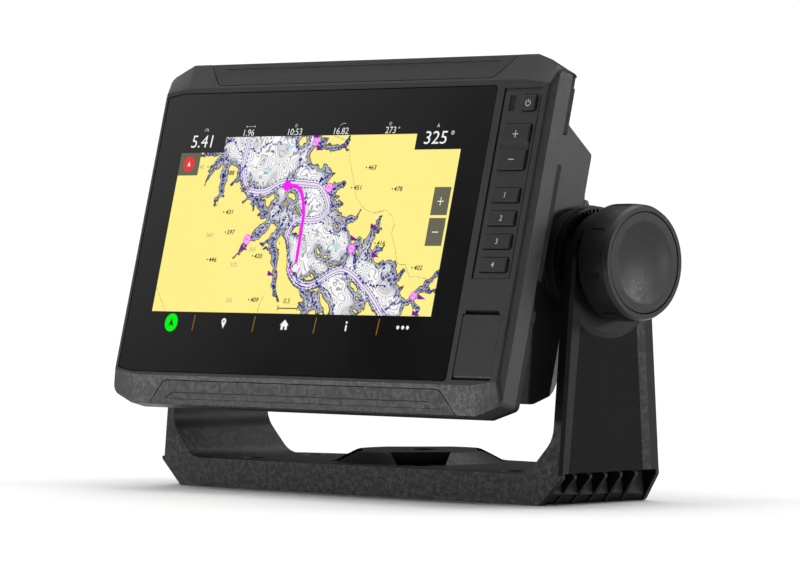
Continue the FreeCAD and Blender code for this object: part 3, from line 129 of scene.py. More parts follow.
# Studio. The panel is a bright patch of the surroundings that the cover glass reflects.
PANEL_WAY = (-0.77, -0.50, 0.40)
PANEL_SPREAD = (0.82, 0.97)
PANEL_LIGHT = 0.8
PANEL_FADE = (-0.479, 0.778, 0.406)
PANEL_EDGE = (-0.026, 0.052)
SKY_RISE = (0.25, 0.95)
SKY_LIGHT = (0.05, 0.45)
FLOOR_R = 3.0
FLOOR_SIDES = 96
FLOOR_FADE = (0.30, 0.9)
FLOOR_GLOW = 0.25
WHITE = 1.05
SUN_LIGHT = 1.7
SUN_SPREAD = 60.0
SUN_LEAN = -18.0

# Camera: place in metres, turn and dip in degrees, lens and sensor in millimetres.
CAMERA_PLACE = (1.26805, -1.3104, 0.10658)
CAMERA_TURN = 44.3035
CAMERA_DIP = 0.79752
CAMERA_LENS = 208.09
SENSOR_WIDTH = 36.0


# ---------------------------------------------------------------- frames and meshes

def head_matrix():
    """Turns the display's own millimetres (x, depth, up) into the frame's metres."""
    inwards = Vector(JOINTS["power_press"]["axis"]).normalized()
    across = Vector((1.0, 0.0, 0.0))
    upwards = across.cross(inwards)
    pivot = Vector(JOINTS["tilt"]["pos_m"])
    origin = pivot - inwards * PIVOT_DEPTH * MM - upwards * PIVOT_UP * MM
    turn = Matrix((across, inwards, upwards)).transposed().to_4x4()
    return Matrix.Translation(origin) @ turn @ Matrix.Scale(MM, 4)


HEAD = head_matrix()


def head_point(x, up, depth):
    """Point given in the display's own millimetres, in the frame's metres."""
    return HEAD @ Vector((x, depth, up))


def new_object(name, data):
    """Object in the scene that holds the given mesh, light, camera or text."""
    thing = bpy.data.objects.new(name, data)
    bpy.context.scene.collection.objects.link(thing)
    return thing


def new_piece(name, verts, faces, materials, body):
    """Mesh object in the frame's metres that rides on a body."""
    mesh = bpy.data.meshes.new(name)
    mesh.from_pydata([tuple(v) for v in verts], [], faces)
    mesh.validate()
    piece = new_object(name, mesh)
    for item in materials:
        mesh.materials.append(item)
    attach(piece, body)
    return piece


def softened(node, width, material):
    """Copy of a CAD node with every sharp edge rounded, which stands for the node."""
    bm = bmesh.new()
    bm.from_mesh(frame["nodes"][node].data)
    bmesh.ops.remove_doubles(bm, verts=bm.verts, dist=1e-6)
    bmesh.ops.dissolve_limit(bm, angle_limit=math.radians(0.6), verts=bm.verts, edges=bm.edges)
    mesh = bpy.data.meshes.new(node + "_moulding")
    bm.to_mesh(mesh)
    bm.free()
    mesh.shade_smooth()
    raw = new_object(node + "_raw", mesh)
    bevel = raw.modifiers.new("edges", "BEVEL")
    bevel.width = width * MM
    bevel.segments = EDGE_SEGMENTS
    bevel.limit_method = "ANGLE"
    bevel.angle_limit = math.radians(EDGE_BEND)
    bevel.harden_normals = False
    bevel.use_clamp_overlap = True
    flat = raw.modifiers.new("flat_faces", "WEIGHTED_NORMAL")
    flat.mode = "FACE_AREA"
    flat.weight = 100
    flat.keep_sharp = True
    bpy.context.view_layer.update()
    graph = bpy.context.evaluated_depsgraph_get()
    done = bpy.data.meshes.new_from_object(raw.evaluated_get(graph))
    bpy.data.objects.remove(raw)
    done.materials.clear()
    done.materials.append(material)
    piece = new_object(node + "_moulding", done)
    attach(piece, frame["nodes"][node]["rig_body"])
    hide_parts(node)
    return piece


# ---------------------------------------------------------------- materials

class Graph:
    """Short calls for building one material's nodes."""

    def __init__(self, name):
        self.material = bpy.data.materials.new(name)
        self.material.use_nodes = True
        self.tree = self.material.node_tree
        self.shader = self.tree.nodes["Principled BSDF"]
        self.place = self.add("ShaderNodeTexCoord").outputs["Object"]

    def add(self, kind, **settings):
        node = self.tree.nodes.new(kind)
        for key, value in settings.items():
            setattr(node, key, value)
        return node

    def feed(self, socket, value):
        """Link an output to the socket, or set the socket to a plain value."""
        if isinstance(value, bpy.types.NodeSocket):
            self.tree.links.new(value, socket)
        else:
            socket.default_value = value

    def math(self, operation, *values):
        node = self.add("ShaderNodeMath", operation=operation)
        for socket, value in zip(node.inputs, values):
            self.feed(socket, value)
        return node.outputs[0]

    def step(self, value, low, high, start=0.0, end=1.0):
        """Smooth ramp from start to end as the value goes from low to high."""
        node = self.add("ShaderNodeMapRange", interpolation_type="SMOOTHSTEP")
        for socket, item in zip(node.inputs, (value, low, high, start, end)):
            self.feed(socket, item)
        return node.outputs[0]

    def blend(self, share, first, second):
        """Colour between two colours."""
        node = self.add("ShaderNodeMix", data_type="RGBA")
        for socket, value in zip((node.inputs[0], node.inputs[6], node.inputs[7]), (share, first, second)):
            self.feed(socket, value)
        return node.outputs[2]

    def noise(self, scale, detail=2.0, place=None):
        node = self.add("ShaderNodeTexNoise")
        self.feed(node.inputs["Vector"], place or self.place)
        node.inputs["Scale"].default_value = scale
        node.inputs["Detail"].default_value = detail
        return node.outputs[0]

    def bump(self, height, strength, distance):
        node = self.add("ShaderNodeBump")
        node.inputs["Strength"].default_value = strength
        node.inputs["Distance"].default_value = distance
        self.feed(node.inputs["Height"], height)
        self.feed(self.shader.inputs["Normal"], node.outputs[0])

    def glow(self, colour):
        """Make the surface black apart from light of the given colour."""
        self.feed(self.shader.inputs["Emission Color"], colour)
        self.shader.inputs["Emission Strength"].default_value = 1.0
        self.shader.inputs["Base Color"].default_value = (0.0, 0.0, 0.0, 1.0)
        self.shader.inputs["Roughness"].default_value = 0.12
        self.shader.inputs["Specular IOR Level"].default_value = 0.0

    def attribute(self, name):
        return self.add("ShaderNodeAttribute", attribute_name=name).outputs["Fac"]


def moulded(name, tone, rough, grain=1900.0, depth=0.00006, tint=None, shine=0.4):
    """Moulded plastic: fine spark-eroded grain with slight changes of tone and gloss."""
    g = Graph(name)
    fine = g.noise(grain, 3.0)
    broad = g.noise(CLOUD_SCALE, 3.0)
    low = tint or (tone, tone, tone * 1.03)
    dark = tuple(c * (1.0 - MOTTLE) for c in low) + (1.0,)
    light = tuple(c * (1.0 + MOTTLE) for c in low) + (1.0,)
    cloudy = g.blend(g.step(broad, 0.35, 0.65), dark, light)
    speck = g.step(fine, 0.62, 0.74, 0.0, 0.35)
    g.feed(g.shader.inputs["Base Color"], g.blend(speck, cloudy, tuple(c * 1.6 for c in low) + (1.0,)))
    pebble = g.noise(grain * PEBBLE_SCALE, 1.0)
    gloss = g.step(pebble, 0.35, 0.65, rough - GLOSS_SWING, rough + GLOSS_SWING)
    g.feed(g.shader.inputs["Roughness"], gloss)
    g.shader.inputs["Specular IOR Level"].default_value = shine
    g.bump(g.math("ADD", fine, g.math("MULTIPLY", pebble, PEBBLE_HEIGHT)), GRAIN_STRENGTH, depth)
    return g.material


def brushed(name, colour, rough, direction=(1.0, 1.0, 40.0)):
    """Machined or plated metal with fine tool lines."""
    g = Graph(name)
    stretch = g.add("ShaderNodeMapping")
    stretch.inputs["Scale"].default_value = direction
    g.feed(stretch.inputs["Vector"], g.place)
    lines = g.noise(300.0, 3.0, stretch.outputs[0])
    g.shader.inputs["Metallic"].default_value = 1.0
    dark = tuple(c * 0.82 for c in colour) + (1.0,)
    g.feed(g.shader.inputs["Base Color"], g.blend(lines, dark, tuple(colour) + (1.0,)))
    g.feed(g.shader.inputs["Roughness"], g.step(lines, 0.2, 0.8, rough - 0.08, rough + 0.08))
    g.bump(lines, 0.2, 0.00002)
    return g.material


def circuit_board(name):
    """Green solder mask over copper tracks."""
    g = Graph(name)
    tracks = g.add("ShaderNodeTexBrick", offset=0.37, squash=0.6)
    g.feed(tracks.inputs["Vector"], g.place)
    tracks.inputs["Scale"].default_value = 260.0
    tracks.inputs["Mortar Size"].default_value = 0.03
    mask = g.blend(g.noise(90.0), (0.010, 0.075, 0.030, 1.0), (0.016, 0.105, 0.045, 1.0))
    g.feed(g.shader.inputs["Base Color"], g.blend(tracks.outputs["Fac"], mask, (0.03, 0.17, 0.07, 1.0)))
    g.shader.inputs["Roughness"].default_value = 0.35
    g.bump(tracks.outputs["Fac"], 0.3, 0.00003)
    return g.material


def black_glass():
    """Cover glass with its black border print: deep, smooth and a little hazy."""
    g = Graph("black_glass")
    haze = g.noise(25.0, 2.0)
    deep = (0.0012, 0.0012, 0.0013, 1.0)
    hazy = (0.0022, 0.0022, 0.0024, 1.0)
    g.feed(g.shader.inputs["Base Color"], g.blend(haze, deep, hazy))
    g.feed(g.shader.inputs["Roughness"], g.step(haze, 0.3, 0.7, 0.10, 0.13))
    g.shader.inputs["IOR"].default_value = 1.5
    return g.material


def lit(name, colour):
    """Lit part of the screen, with the fine grain of its picture elements."""
    g = Graph(name)
    cells = g.add("ShaderNodeTexVoronoi", feature="F1")
    g.feed(cells.inputs["Vector"], g.place)
    cells.inputs["Scale"].default_value = 4000.0
    even = g.step(cells.outputs["Distance"], 0.1, 0.9, 0.0, 0.06)
    shaded = tuple(c * 0.8 for c in colour) + (1.0,)
    g.glow(g.blend(even, tuple(colour) + (1.0,), shaded))
    return g.material


# ---------------------------------------------------------------- flat drawing on the display

def on_screen(u, w, depth):
    """Point at u across from the picture's left edge and w up from its lower edge."""
    return head_point(SCREEN_X - SCREEN_W / 2 + u, w - SCREEN_H / 2, depth)


class Drawing:
    """Flat figures in several inks, all in one mesh. Each new layer lies a little further out."""

    def __init__(self, name, body, inks, place, depth, lift=0.002):
        self.name = name
        self.body = body
        self.names = list(inks)
        self.inks = [inks[key] for key in self.names]
        self.place = place
        self.depth = depth
        self.lift = lift
        self.verts = []
        self.faces = []
        self.tags = []

    def add(self, points, faces, ink):
        start = len(self.verts)
        self.verts += [self.place(a, b, self.depth) for a, b in points]
        self.faces += [[start + i for i in face] for face in faces]
        self.tags += [self.names.index(ink)] * len(faces)

    def polygon(self, points, ink):
        self.add(points, [range(len(points))], ink)

    def box(self, left, low, right, high, ink):
        self.polygon([(left, low), (right, low), (right, high), (left, high)], ink)

    def arc(self, centre, radius, width, ink, start=0.0, end=360.0, sides=48):
        """Ring or part of a ring."""
        turns = [math.radians(start + (end - start) * i / sides) for i in range(sides + 1)]
        points = []
        for turn in turns:
            for r in (radius - width / 2, radius + width / 2):
                points.append((centre[0] + r * math.cos(turn), centre[1] + r * math.sin(turn)))
        faces = [[2 * i, 2 * i + 1, 2 * i + 3, 2 * i + 2] for i in range(sides)]
        self.add(points, faces, ink)

    def disc(self, centre, radius, ink, sides=48):
        turns = [math.tau * i / sides for i in range(sides)]
        x, y = centre
        self.polygon([(x + radius * math.cos(t), y + radius * math.sin(t)) for t in turns], ink)

    def line(self, points, width, ink):
        """Band of even width along the points, with mitred corners."""
        path = [Vector(p) for p in points]
        edges = []
        for i, point in enumerate(path):
            before = (point - path[i - 1]).normalized() if i else (path[1] - point).normalized()
            after = (path[i + 1] - point).normalized() if i + 1 < len(path) else before
            side = (before + after).normalized().orthogonal()
            reach = width / 2 / max(0.5, side.dot(before.orthogonal()))
            edges.append((point + side * reach)[:])
            edges.append((point - side * reach)[:])
        faces = [[2 * i, 2 * i + 1, 2 * i + 3, 2 * i + 2] for i in range(len(path) - 1)]
        self.add(edges, faces, ink)

    def numerals(self, text, centre, height, ink, slant=0.0, stretch=1.0, bold=0.0):
        """Digits of the given height, centred on a point."""
        curve = bpy.data.curves.new("digits", "FONT")
        curve.body = text
        curve.shear = slant
        curve.offset = bold
        curve.resolution_u = 4
        holder = new_object("digits", curve)
        bpy.context.view_layer.update()
        graph = bpy.context.evaluated_depsgraph_get()
        mesh = bpy.data.meshes.new_from_object(holder.evaluated_get(graph))
        bpy.data.objects.remove(holder)
        xs = [v.co.x for v in mesh.vertices]
        ys = [v.co.y for v in mesh.vertices]
        low = Vector((min(xs), min(ys)))
        high = Vector((max(xs), max(ys)))
        size = height / (high.y - low.y)
        middle = (low + high) / 2
        points = []
        for vertex in mesh.vertices:
            across = centre[0] + (vertex.co.x - middle.x) * size * stretch
            points.append((across, centre[1] + (vertex.co.y - middle.y) * size))
        self.add(points, [list(face.vertices) for face in mesh.polygons], ink)

    def next_layer(self):
        self.depth -= self.lift

    def finish(self, slot):
        """Make the mesh, with every face turned outwards."""
        piece = new_piece(self.name, self.verts, self.faces, self.inks, self.body)
        outwards = -(HEAD.to_3x3() @ Vector((0.0, 1.0, 0.0)))
        bm = bmesh.new()
        bm.from_mesh(piece.data)
        bm.faces.ensure_lookup_table()
        for face, tag in zip(bm.faces, self.tags):
            face.material_index = tag
        for face in bm.faces:
            if face.normal.dot(outwards) < 0.0:
                face.normal_flip()
        bm.to_mesh(piece.data)
        bm.free()
        return piece


# ---------------------------------------------------------------- the chart

# The chart follows the layout of a reservoir with side creeks, in millimetres on the screen.
# Strokes of water and of islands are (u, w, half width), and widen and narrow along their points.
BASINS = (
    ((32, 76, 7), (45, 74, 12), (55, 70, 12), (50, 66, 8)),
    ((55, 70, 12), (62, 72, 9), (60, 66, 6)),
    ((72, 78, 7), (70, 70, 5), (72, 64, 6), (80, 62, 5), (84, 64, 3)),
    ((60, 58, 3), (66, 56, 6), (75, 54.5, 11), (84, 54, 7)),
    ((80, 46, 6), (88, 36, 13), (88, 40, 12)),
    ((88, 36, 13), (97, 36, 8)),
    ((100, 20, 8), (95, 15, 6), (110, 16, 9), (106, 10, 8)),
    ((108, 29, 6), (118, 24, 6), (128, 16, 7), (134, 12, 5)),
    ((70, 38, 4), (76, 34, 6), (80, 28, 6)),
    ((62, 50, 6), (66, 46, 3.5)),
    ((38, 74, 5), (39, 66, 3), (41, 60, 2.6), (47, 57.5, 2.8), (54, 58, 3.0)),
    ((124, 26, 3.5), (128, 28, 2.6), (130, 24, 2.6)),
)
ARMS = (
    ((27, 76, 4), (28, 71, 2.6), (27, 66, 1.9), (27, 58, 1.5), (24.5, 52, 0.25)),
    ((27, 58, 1.2), (29.5, 56, 0.2)),
    ((27, 72, 2), (22, 69.5, 1.8), (19, 66, 1.1), (16.5, 60.5, 0.25)),
    ((25, 75, 2), (20, 73.5, 0.8), (11, 73, 0.4)),
    ((38, 68, 3), (35, 63, 1.3), (32.5, 60.5, 0.4)),
    ((62, 50, 4), (58, 46, 2.4), (53, 41, 2.3), (49, 39, 1.1), (47, 37.5, 0.8), (44, 33, 0.8),
     (40.5, 30.3, 0.2)),
    ((55, 48, 2.2), (51, 48, 0.6)),
    ((54, 50, 2), (47, 55, 1.6), (47, 50, 0.3)),
    ((45, 56, 1.6), (40, 54, 0.4)),
    ((66, 48, 4), (65, 43, 2.2), (61, 38, 1.9), (64, 32, 1.9), (66, 24, 1.1), (67, 18, 0.8), (71, 13.5, 0.3)),
    ((62, 38, 1.2), (55, 36.5, 0.3)),
    ((63, 35, 1.2), (57, 34.3, 0.3)),
    ((76, 78, 3), (81, 74.5, 1.6), (86, 75, 1.0), (91, 76, 0.7), (94.5, 79, 0.3)),
    ((88, 75, 0.8), (94.5, 74.3, 0.2)),
    ((79, 77, 1.2), (82, 79.5, 0.3)),
    ((82, 62, 3), (86, 64, 1.6), (89, 65, 0.3)),
    ((84, 64, 2), (83, 67.5, 1.2)),
    ((87, 57, 2.4), (92, 59.5, 1.4), (95.5, 60.5, 0.5)),
    ((88, 56, 2), (93.5, 55.3, 0.3)),
    ((89, 52, 2.4), (96, 52.5, 0.5)),
    ((90, 48, 3.2), (96, 44.5, 3.2)),
    ((98, 44.5, 2.6), (100, 46.2, 1.5), (104, 46.5, 1.2), (107, 49.5, 0.3)),
    ((99, 43, 2.2), (101.5, 41.3, 0.3)),
    ((108, 30, 5), (113, 34, 3.2), (114.5, 39, 1.6), (117, 44, 1.2), (118.5, 48, 0.4)),
    ((116, 42, 0.8), (120.5, 42, 0.2)),
    ((114, 31, 3), (119, 34, 1.3), (123, 35.3, 0.3)),
    ((107, 34, 3), (109, 38, 1.5)),
    ((130, 21, 2.6), (134, 24, 1.0), (136, 26.5, 0.3)),
    ((124, 28, 2), (124.5, 30, 0.7)),
    ((131, 12, 4), (136, 14, 2.2), (141, 14, 1.3), (146, 19, 1.2), (150, 22, 1.0), (154.2, 26, 0.7)),
    ((134, 16, 1.6), (134, 19.2, 0.9), (137, 20, 0.3)),
    ((142, 15, 1.1), (146, 12, 0.8), (147, 8, 0.5)),
    ((147, 19, 1.0), (154.2, 18.5, 0.5)),
    ((85, 16, 1.5), (88, 12.5, 3.2), (86, 10, 2.2), (82, 13.5, 0.4)),
    ((88, 14, 3), (83, 18, 1.2), (80, 21.5, 1.2), (75, 26, 1.2), (72, 31, 1.2), (69, 38, 1.6)),
    ((70, 44, 2.4), (66, 50, 2)),
)
LAND = (
    ((77, 72, 3.6), (83, 72, 2.4)),
    ((65, 40, 0.4), (67.5, 37, 1.6), (69, 30, 2.4), (70.5, 22, 3.0)),
    ((59, 42, 0.8), (61, 43.2, 0.9)),
    ((53, 45.5, 1.3), (55, 46.5, 0.7)),
    ((31, 66.5, 2.0), (33, 64.8, 1.2)),
    ((67.3, 77.5, 1.4), (69, 78.4, 1.5)),
    ((66.2, 56.6, 1.0), (69, 55, 1.2)),
    ((87, 34.5, 0.6), (88.4, 33, 0.7)),
    ((91.6, 31.4, 0.6), (92.6, 31.7, 0.7)),
    ((95, 29, 0.4), (96.3, 28.2, 0.5)),
    ((86.6, 24.4, 0.6), (87.6, 23.4, 0.6)),
    ((95, 43.9, 0.6), (96.2, 43.1, 0.5)),
    ((108.4, 33.6, 0.6), (109.4, 32.4, 0.5)),
    ((109.3, 20.8, 1.0), (112.2, 18.4, 0.9)),
    ((113, 15.2, 0.6), (114, 15.2, 0.5)),
    ((112.8, 10.6, 0.7), (114.6, 9.6, 0.6)),
    ((117, 11, 0.6), (117.6, 9, 0.7)),
    ((93.4, 16.4, 0.8), (96, 13, 1.3), (98.6, 10, 1.6)),
    ((64, 52, 0.4), (65.5, 53.2, 0.5)),
    ((71.5, 50.4, 0.5), (73.2, 49, 0.4)),
)
CHANNEL = (
    (38, 81), (37, 70), (38.4, 64), (41.6, 59), (46, 57.4), (53, 57.8), (60, 61), (66, 61.3),
    (76, 60.6), (82, 59.8), (86.6, 55.6), (89, 50.8), (85.6, 46.9), (80, 46), (73.4, 46.2),
    (69.4, 42.4), (69.2, 36), (72.2, 29), (77.8, 22.4), (84, 20), (90, 21.2), (97, 25),
    (103, 26.3), (110, 23.6), (120, 16.6), (129, 8),
)
TRACKS = (
    ((39, 75.4), (44, 74), (49, 77.4), (57, 77)),
    ((65, 81), (65, 76), (68.4, 72.4), (68.4, 66)),
    ((68.4, 72.4), (72, 76.6), (73, 81)),
    ((69, 67.4), (75.6, 68)),
    ((25, 79), (29, 78.6), (33, 74.4), (36, 73)),
    ((35, 69), (36, 66)),
    ((55, 53), (60, 52), (64, 50.6), (63, 46), (64.6, 43)),
    ((66, 50.6), (69.6, 50), (70, 46)),
    ((75.2, 57), (76, 52.6)),
    ((82, 61), (85.6, 64)),
    ((86, 46), (91, 41.6), (98, 39.4)),
    ((103, 36), (104, 27.4)),
    ((108, 32), (109.6, 26)),
    ((109, 28), (113.6, 30.6), (115.6, 37)),
    ((90, 21), (97, 18), (101.6, 13), (102.4, 8)),
    ((88, 17), (92, 12), (95, 8)),
    ((113, 22.6), (120, 20.4), (128, 20)),
    ((124.6, 29), (125, 22.6), (129.6, 25.4)),
    ((128, 10.6), (134, 14), (142, 14.4)),
    ((115, 15), (121, 12)),
    ((71.6, 44), (73, 40.6), (76, 39)),
)
BORDERS = (
    ((85, 80), (93.5, 77.5), (96, 70), (100, 62), (103, 55), (108, 51), (113.5, 48.7), (120, 50), (124, 48),
     (126.5, 44.5), (125.5, 41), (129, 35), (131.5, 29), (136, 28.7), (139, 24), (144, 24), (150, 23)),
    ((0, 18.5), (7.8, 8.7)),
    ((62, 16), (60.4, 11), (60, 8.7)),
)
POOLS = ((51.5, 66.5), (61, 76), (83, 67.5), (94.5, 36), (97.5, 35.8), (118, 48), (109, 39.5), (113, 17))


def wobble(u, w, length, seed):
    """Even noise between about -1 and 1 with the given wavelength."""
    rng = np.random.default_rng(seed)
    total = np.zeros_like(u)
    for _ in range(14):
        turn = rng.uniform(0.0, math.tau)
        wave = math.tau / (length * rng.uniform(0.7, 1.4))
        total += np.sin(wave * (u * math.cos(turn) + w * math.sin(turn)) + rng.uniform(0.0, math.tau))
    return total / 4.5


def along(points, u, w):
    """Distance to a broken line, the distance run along it, and the side that a point is on."""
    best = np.full_like(u, FAR)
    run = np.zeros_like(u)
    done = 0.0
    for a, b in zip(points, points[1:]):
        step_u, step_w = b[0] - a[0], b[1] - a[1]
        length = math.hypot(step_u, step_w)
        share = np.clip(((u - a[0]) * step_u + (w - a[1]) * step_w) / length ** 2, 0.0, 1.0)
        gap = np.hypot(u - a[0] - share * step_u, w - a[1] - share * step_w)
        nearer = gap < best
        best = np.where(nearer, gap, best)
        run = np.where(nearer, done + share * length, run)
        done += length
    return best, run


def inside(strokes, u, w):
    """How far a point lies inside the drawn strokes; negative outside them."""
    best = np.full_like(u, -FAR)
    for stroke in strokes:
        for a, b in zip(stroke, stroke[1:]):
            step_u, step_w = b[0] - a[0], b[1] - a[1]
            square = step_u ** 2 + step_w ** 2
            share = np.clip(((u - a[0]) * step_u + (w - a[1]) * step_w) / square, 0.0, 1.0)
            gap = np.hypot(u - a[0] - share * step_u, w - a[1] - share * step_w)
            best = np.maximum(best, a[2] + share * (b[2] - a[2]) - gap)
    return best


def smooth_line(points, pieces=6):
    """Rounded version of a broken line, as a chain of short cubic pieces."""
    ends = [points[0]] + list(points) + [points[-1]]
    line = []
    for p0, p1, p2, p3 in zip(ends, ends[1:], ends[2:], ends[3:]):
        for i in range(pieces):
            t = i / pieces
            spot = []
            for a, b, c, d in zip(p0, p1, p2, p3):
                spot.append(0.5 * (2 * b + (c - a) * t + (2 * a - 5 * b + 4 * c - d) * t ** 2
                                   + (3 * b - a - 3 * c + d) * t ** 3))
            line.append(tuple(spot))
    line.append(tuple(points[-1]))
    return line


def chart_fields(u, w):
    """Shore distance, channel distance and run, dashes and borders at each point of the chart."""
    du = 0.55 * wobble(u, w, 5.0, 1) + 0.30 * wobble(u, w, 2.0, 2)
    dw = 0.55 * wobble(u, w, 5.0, 3) + 0.30 * wobble(u, w, 2.0, 4)
    ragged_u, ragged_w = u + du, w + dw
    water = inside(BASINS + ARMS, ragged_u, ragged_w)
    channel, channel_run = along(smooth_line(CHANNEL), u + 0.15 * du, w + 0.15 * dw)
    water = np.maximum(water, 2.0 - channel)
    shore = np.minimum(water, -inside(LAND, u + 0.5 * du, w + 0.5 * dw))
    dash = np.full_like(u, FAR)
    dash_run = np.zeros_like(u)
    creeks = [[(a, b) for a, b, _ in arm] for arm in ARMS]
    for line in [*TRACKS, *creeks]:
        gap, run = along(line, ragged_u, ragged_w)
        nearer = gap < dash
        dash = np.where(nearer, gap, dash)
        dash_run = np.where(nearer, run, dash_run)
    border = np.full_like(u, FAR)
    for line in BORDERS:
        border = np.minimum(border, along(line, u + 0.2 * du, w + 0.2 * dw)[0])
    pool = np.full_like(u, FAR)
    for a, b in POOLS:
        pool = np.minimum(pool, np.hypot((ragged_u - a) * 0.6, ragged_w - b))
    return {"shore": shore, "channel": channel, "channel_run": channel_run, "dash": dash,
            "dash_run": dash_run, "border": border, "pool": pool}


def even_steps(*stops):
    """Numbers about GRID apart that include every stop."""
    parts = []
    for a, b in zip(stops, stops[1:]):
        parts.append(np.linspace(a, b, max(2, round((b - a) / GRID)), endpoint=False))
    return np.concatenate(parts + [[stops[-1]]])


CHART_INKS = {
    "deep": (0.17, 0.175, 0.19), "shallow": (0.97, 0.97, 0.97), "contour": (0.20, 0.20, 0.21),
    "pool": (0.25, 0.62, 0.66), "fairway": (0.93, 0.93, 0.95), "lilac": (0.72, 0.60, 0.80),
    "violet": (0.40, 0.22, 0.52), "navy": (0.016, 0.016, 0.30), "land": (1.0, 0.865, 0.255),
    "pale_land": (1.0, 0.89, 0.285), "border": (0.20, 0.19, 0.15), "coast": (0.05, 0.05, 0.075),
}


def dashes(g, gap, width, run, pitch, share, rest):
    """Dashes along a line, from the distance to it and the name of the run along it."""
    beat = g.math("FRACT", g.math("MULTIPLY", g.attribute(run), pitch))
    return g.math("MULTIPLY", g.step(gap, *width, 1.0, 0.0), g.step(beat, *share, 1.0, rest))


def chart_material():
    """Lit chart: yellow land, contoured water, dashed depth lines and a lilac channel."""
    g = Graph("lit_chart")
    shore, channel, dash = g.attribute("shore"), g.attribute("channel"), g.attribute("dash")
    flat = g.add("ShaderNodeMapping")
    flat.inputs["Scale"].default_value = (1 / MM, 1 / MM, 1 / MM)
    g.feed(flat.inputs["Vector"], g.place)
    relief = g.noise(0.13, 1.2, flat.outputs[0])
    fine = g.noise(1.1, 2.0, flat.outputs[0])
    height = g.math("ADD", g.math("MULTIPLY", relief, 15.0), g.math("MULTIPLY", shore, 0.30))
    level = g.math("FRACT", height)
    contour = g.math("ABSOLUTE", g.math("SUBTRACT", level, 0.5))
    lines = g.step(contour, 0.08, 0.18, 0.75, 0.0)
    deep = g.step(shore, 0.4, 3.6)
    tone = g.math("ADD", g.math("MULTIPLY", g.step(relief, 0.36, 0.50), 0.75), g.math("MULTIPLY", fine, 0.45))
    bright = g.math("MULTIPLY", g.step(deep, 0.0, 1.0, 0.42, 1.0), g.step(tone, 0.15, 0.75, 0.68, 1.0))
    ink = {name: (*colour, 1.0) for name, colour in CHART_INKS.items()}
    water = g.blend(bright, ink["deep"], ink["shallow"])
    water = g.blend(lines, water, ink["contour"])
    pool = g.step(g.attribute("pool"), 0.9, 1.5, 0.5, 0.0)
    water = g.blend(pool, water, ink["pool"])
    water = g.blend(g.step(channel, 1.3, 1.9, 0.9, 0.0), water, ink["fairway"])
    lane = g.math("ABSOLUTE", g.math("SUBTRACT", channel, LANE_GAP))
    water = g.blend(g.step(channel, 0.5, 0.7, 0.30, 0.0), water, ink["lilac"])
    water = g.blend(g.step(lane, 0.14, 0.30, 0.85, 0.0), water, ink["violet"])
    marks = dashes(g, dash, (0.30, 0.46), "dash_run", 0.62, (0.66, 0.74), 0.15)
    water = g.blend(marks, water, ink["navy"])
    inshore = g.math("ABSOLUTE", g.math("SUBTRACT", shore, INSHORE_GAP))
    patchy = g.step(g.noise(1.0, 1.0, flat.outputs[0]), 0.46, 0.52)
    marks = g.math("MULTIPLY", g.step(inshore, 0.16, 0.32, 1.0, 0.0), patchy)
    water = g.blend(marks, water, ink["navy"])
    edge = g.math("ABSOLUTE", g.math("SUBTRACT", channel, FAIRWAY_HALF))
    marks = dashes(g, edge, (0.16, 0.26), "channel_run", 0.55, (0.62, 0.70), 0.1)
    water = g.blend(marks, water, ink["navy"])
    land = g.blend(g.noise(0.03, 2.0, flat.outputs[0]), ink["land"], ink["pale_land"])
    land = g.blend(g.step(g.attribute("border"), 0.10, 0.24, 0.8, 0.0), land, ink["border"])
    coast = g.step(g.math("ABSOLUTE", shore), 0.14, 0.34, 0.9, 0.0)
    colour = g.blend(g.step(shore, -0.05, 0.05), land, water)
    colour = g.blend(coast, colour, ink["coast"])
    g.glow(colour)
    return g.material


def chart_sheet():
    """Fine grid that carries the chart, cut out round the two corner fields."""
    across = even_steps(0.0, LEFT_BLOCK, RIGHT_BLOCK, SCREEN_W)
    up = even_steps(MAP_LOW, BLOCK_LOW, MAP_TOP)
    u, w = np.meshgrid(across, up)
    columns = len(across)
    verts = [on_screen(a, b, CHART_DEPTH) for a, b in zip(u.ravel(), w.ravel())]
    faces = []
    for j in range(len(up) - 1):
        for i in range(columns - 1):
            in_block = across[i] < LEFT_BLOCK - GRID_SLACK or across[i] > RIGHT_BLOCK - GRID_SLACK
            if up[j] > BLOCK_LOW - GRID_SLACK and in_block:
                continue
            first = j * columns + i
            faces.append((first, first + 1, first + columns + 1, first + columns))
    mesh = bpy.data.meshes.new("chart_picture")
    mesh.from_pydata(verts, [], faces)
    for name, values in chart_fields(u, w).items():
        layer = mesh.attributes.new(name, "FLOAT", "POINT")
        layer.data.foreach_set("value", values.ravel().astype(np.float32))
    bm = bmesh.new()
    bm.from_mesh(mesh)
    loose = [v for v in bm.verts if not v.link_faces]
    bmesh.ops.delete(bm, geom=loose, context="VERTS")
    bm.to_mesh(mesh)
    bm.free()
    mesh.materials.append(chart_material())
    piece = new_object("chart_picture", mesh)
    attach(piece, "head")


# ---------------------------------------------------------------- overlays on the picture

def north_arrow(drawing, centre, size, ink):
    """Arrowhead pointing up with a notch in its foot."""
    x, y = centre
    drawing.polygon([(x, y + size), (x - size * 0.75, y - size * 0.8), (x, y - size * 0.35)], ink)
    drawing.polygon([(x, y + size), (x, y - size * 0.35), (x + size * 0.75, y - size * 0.8)], ink)


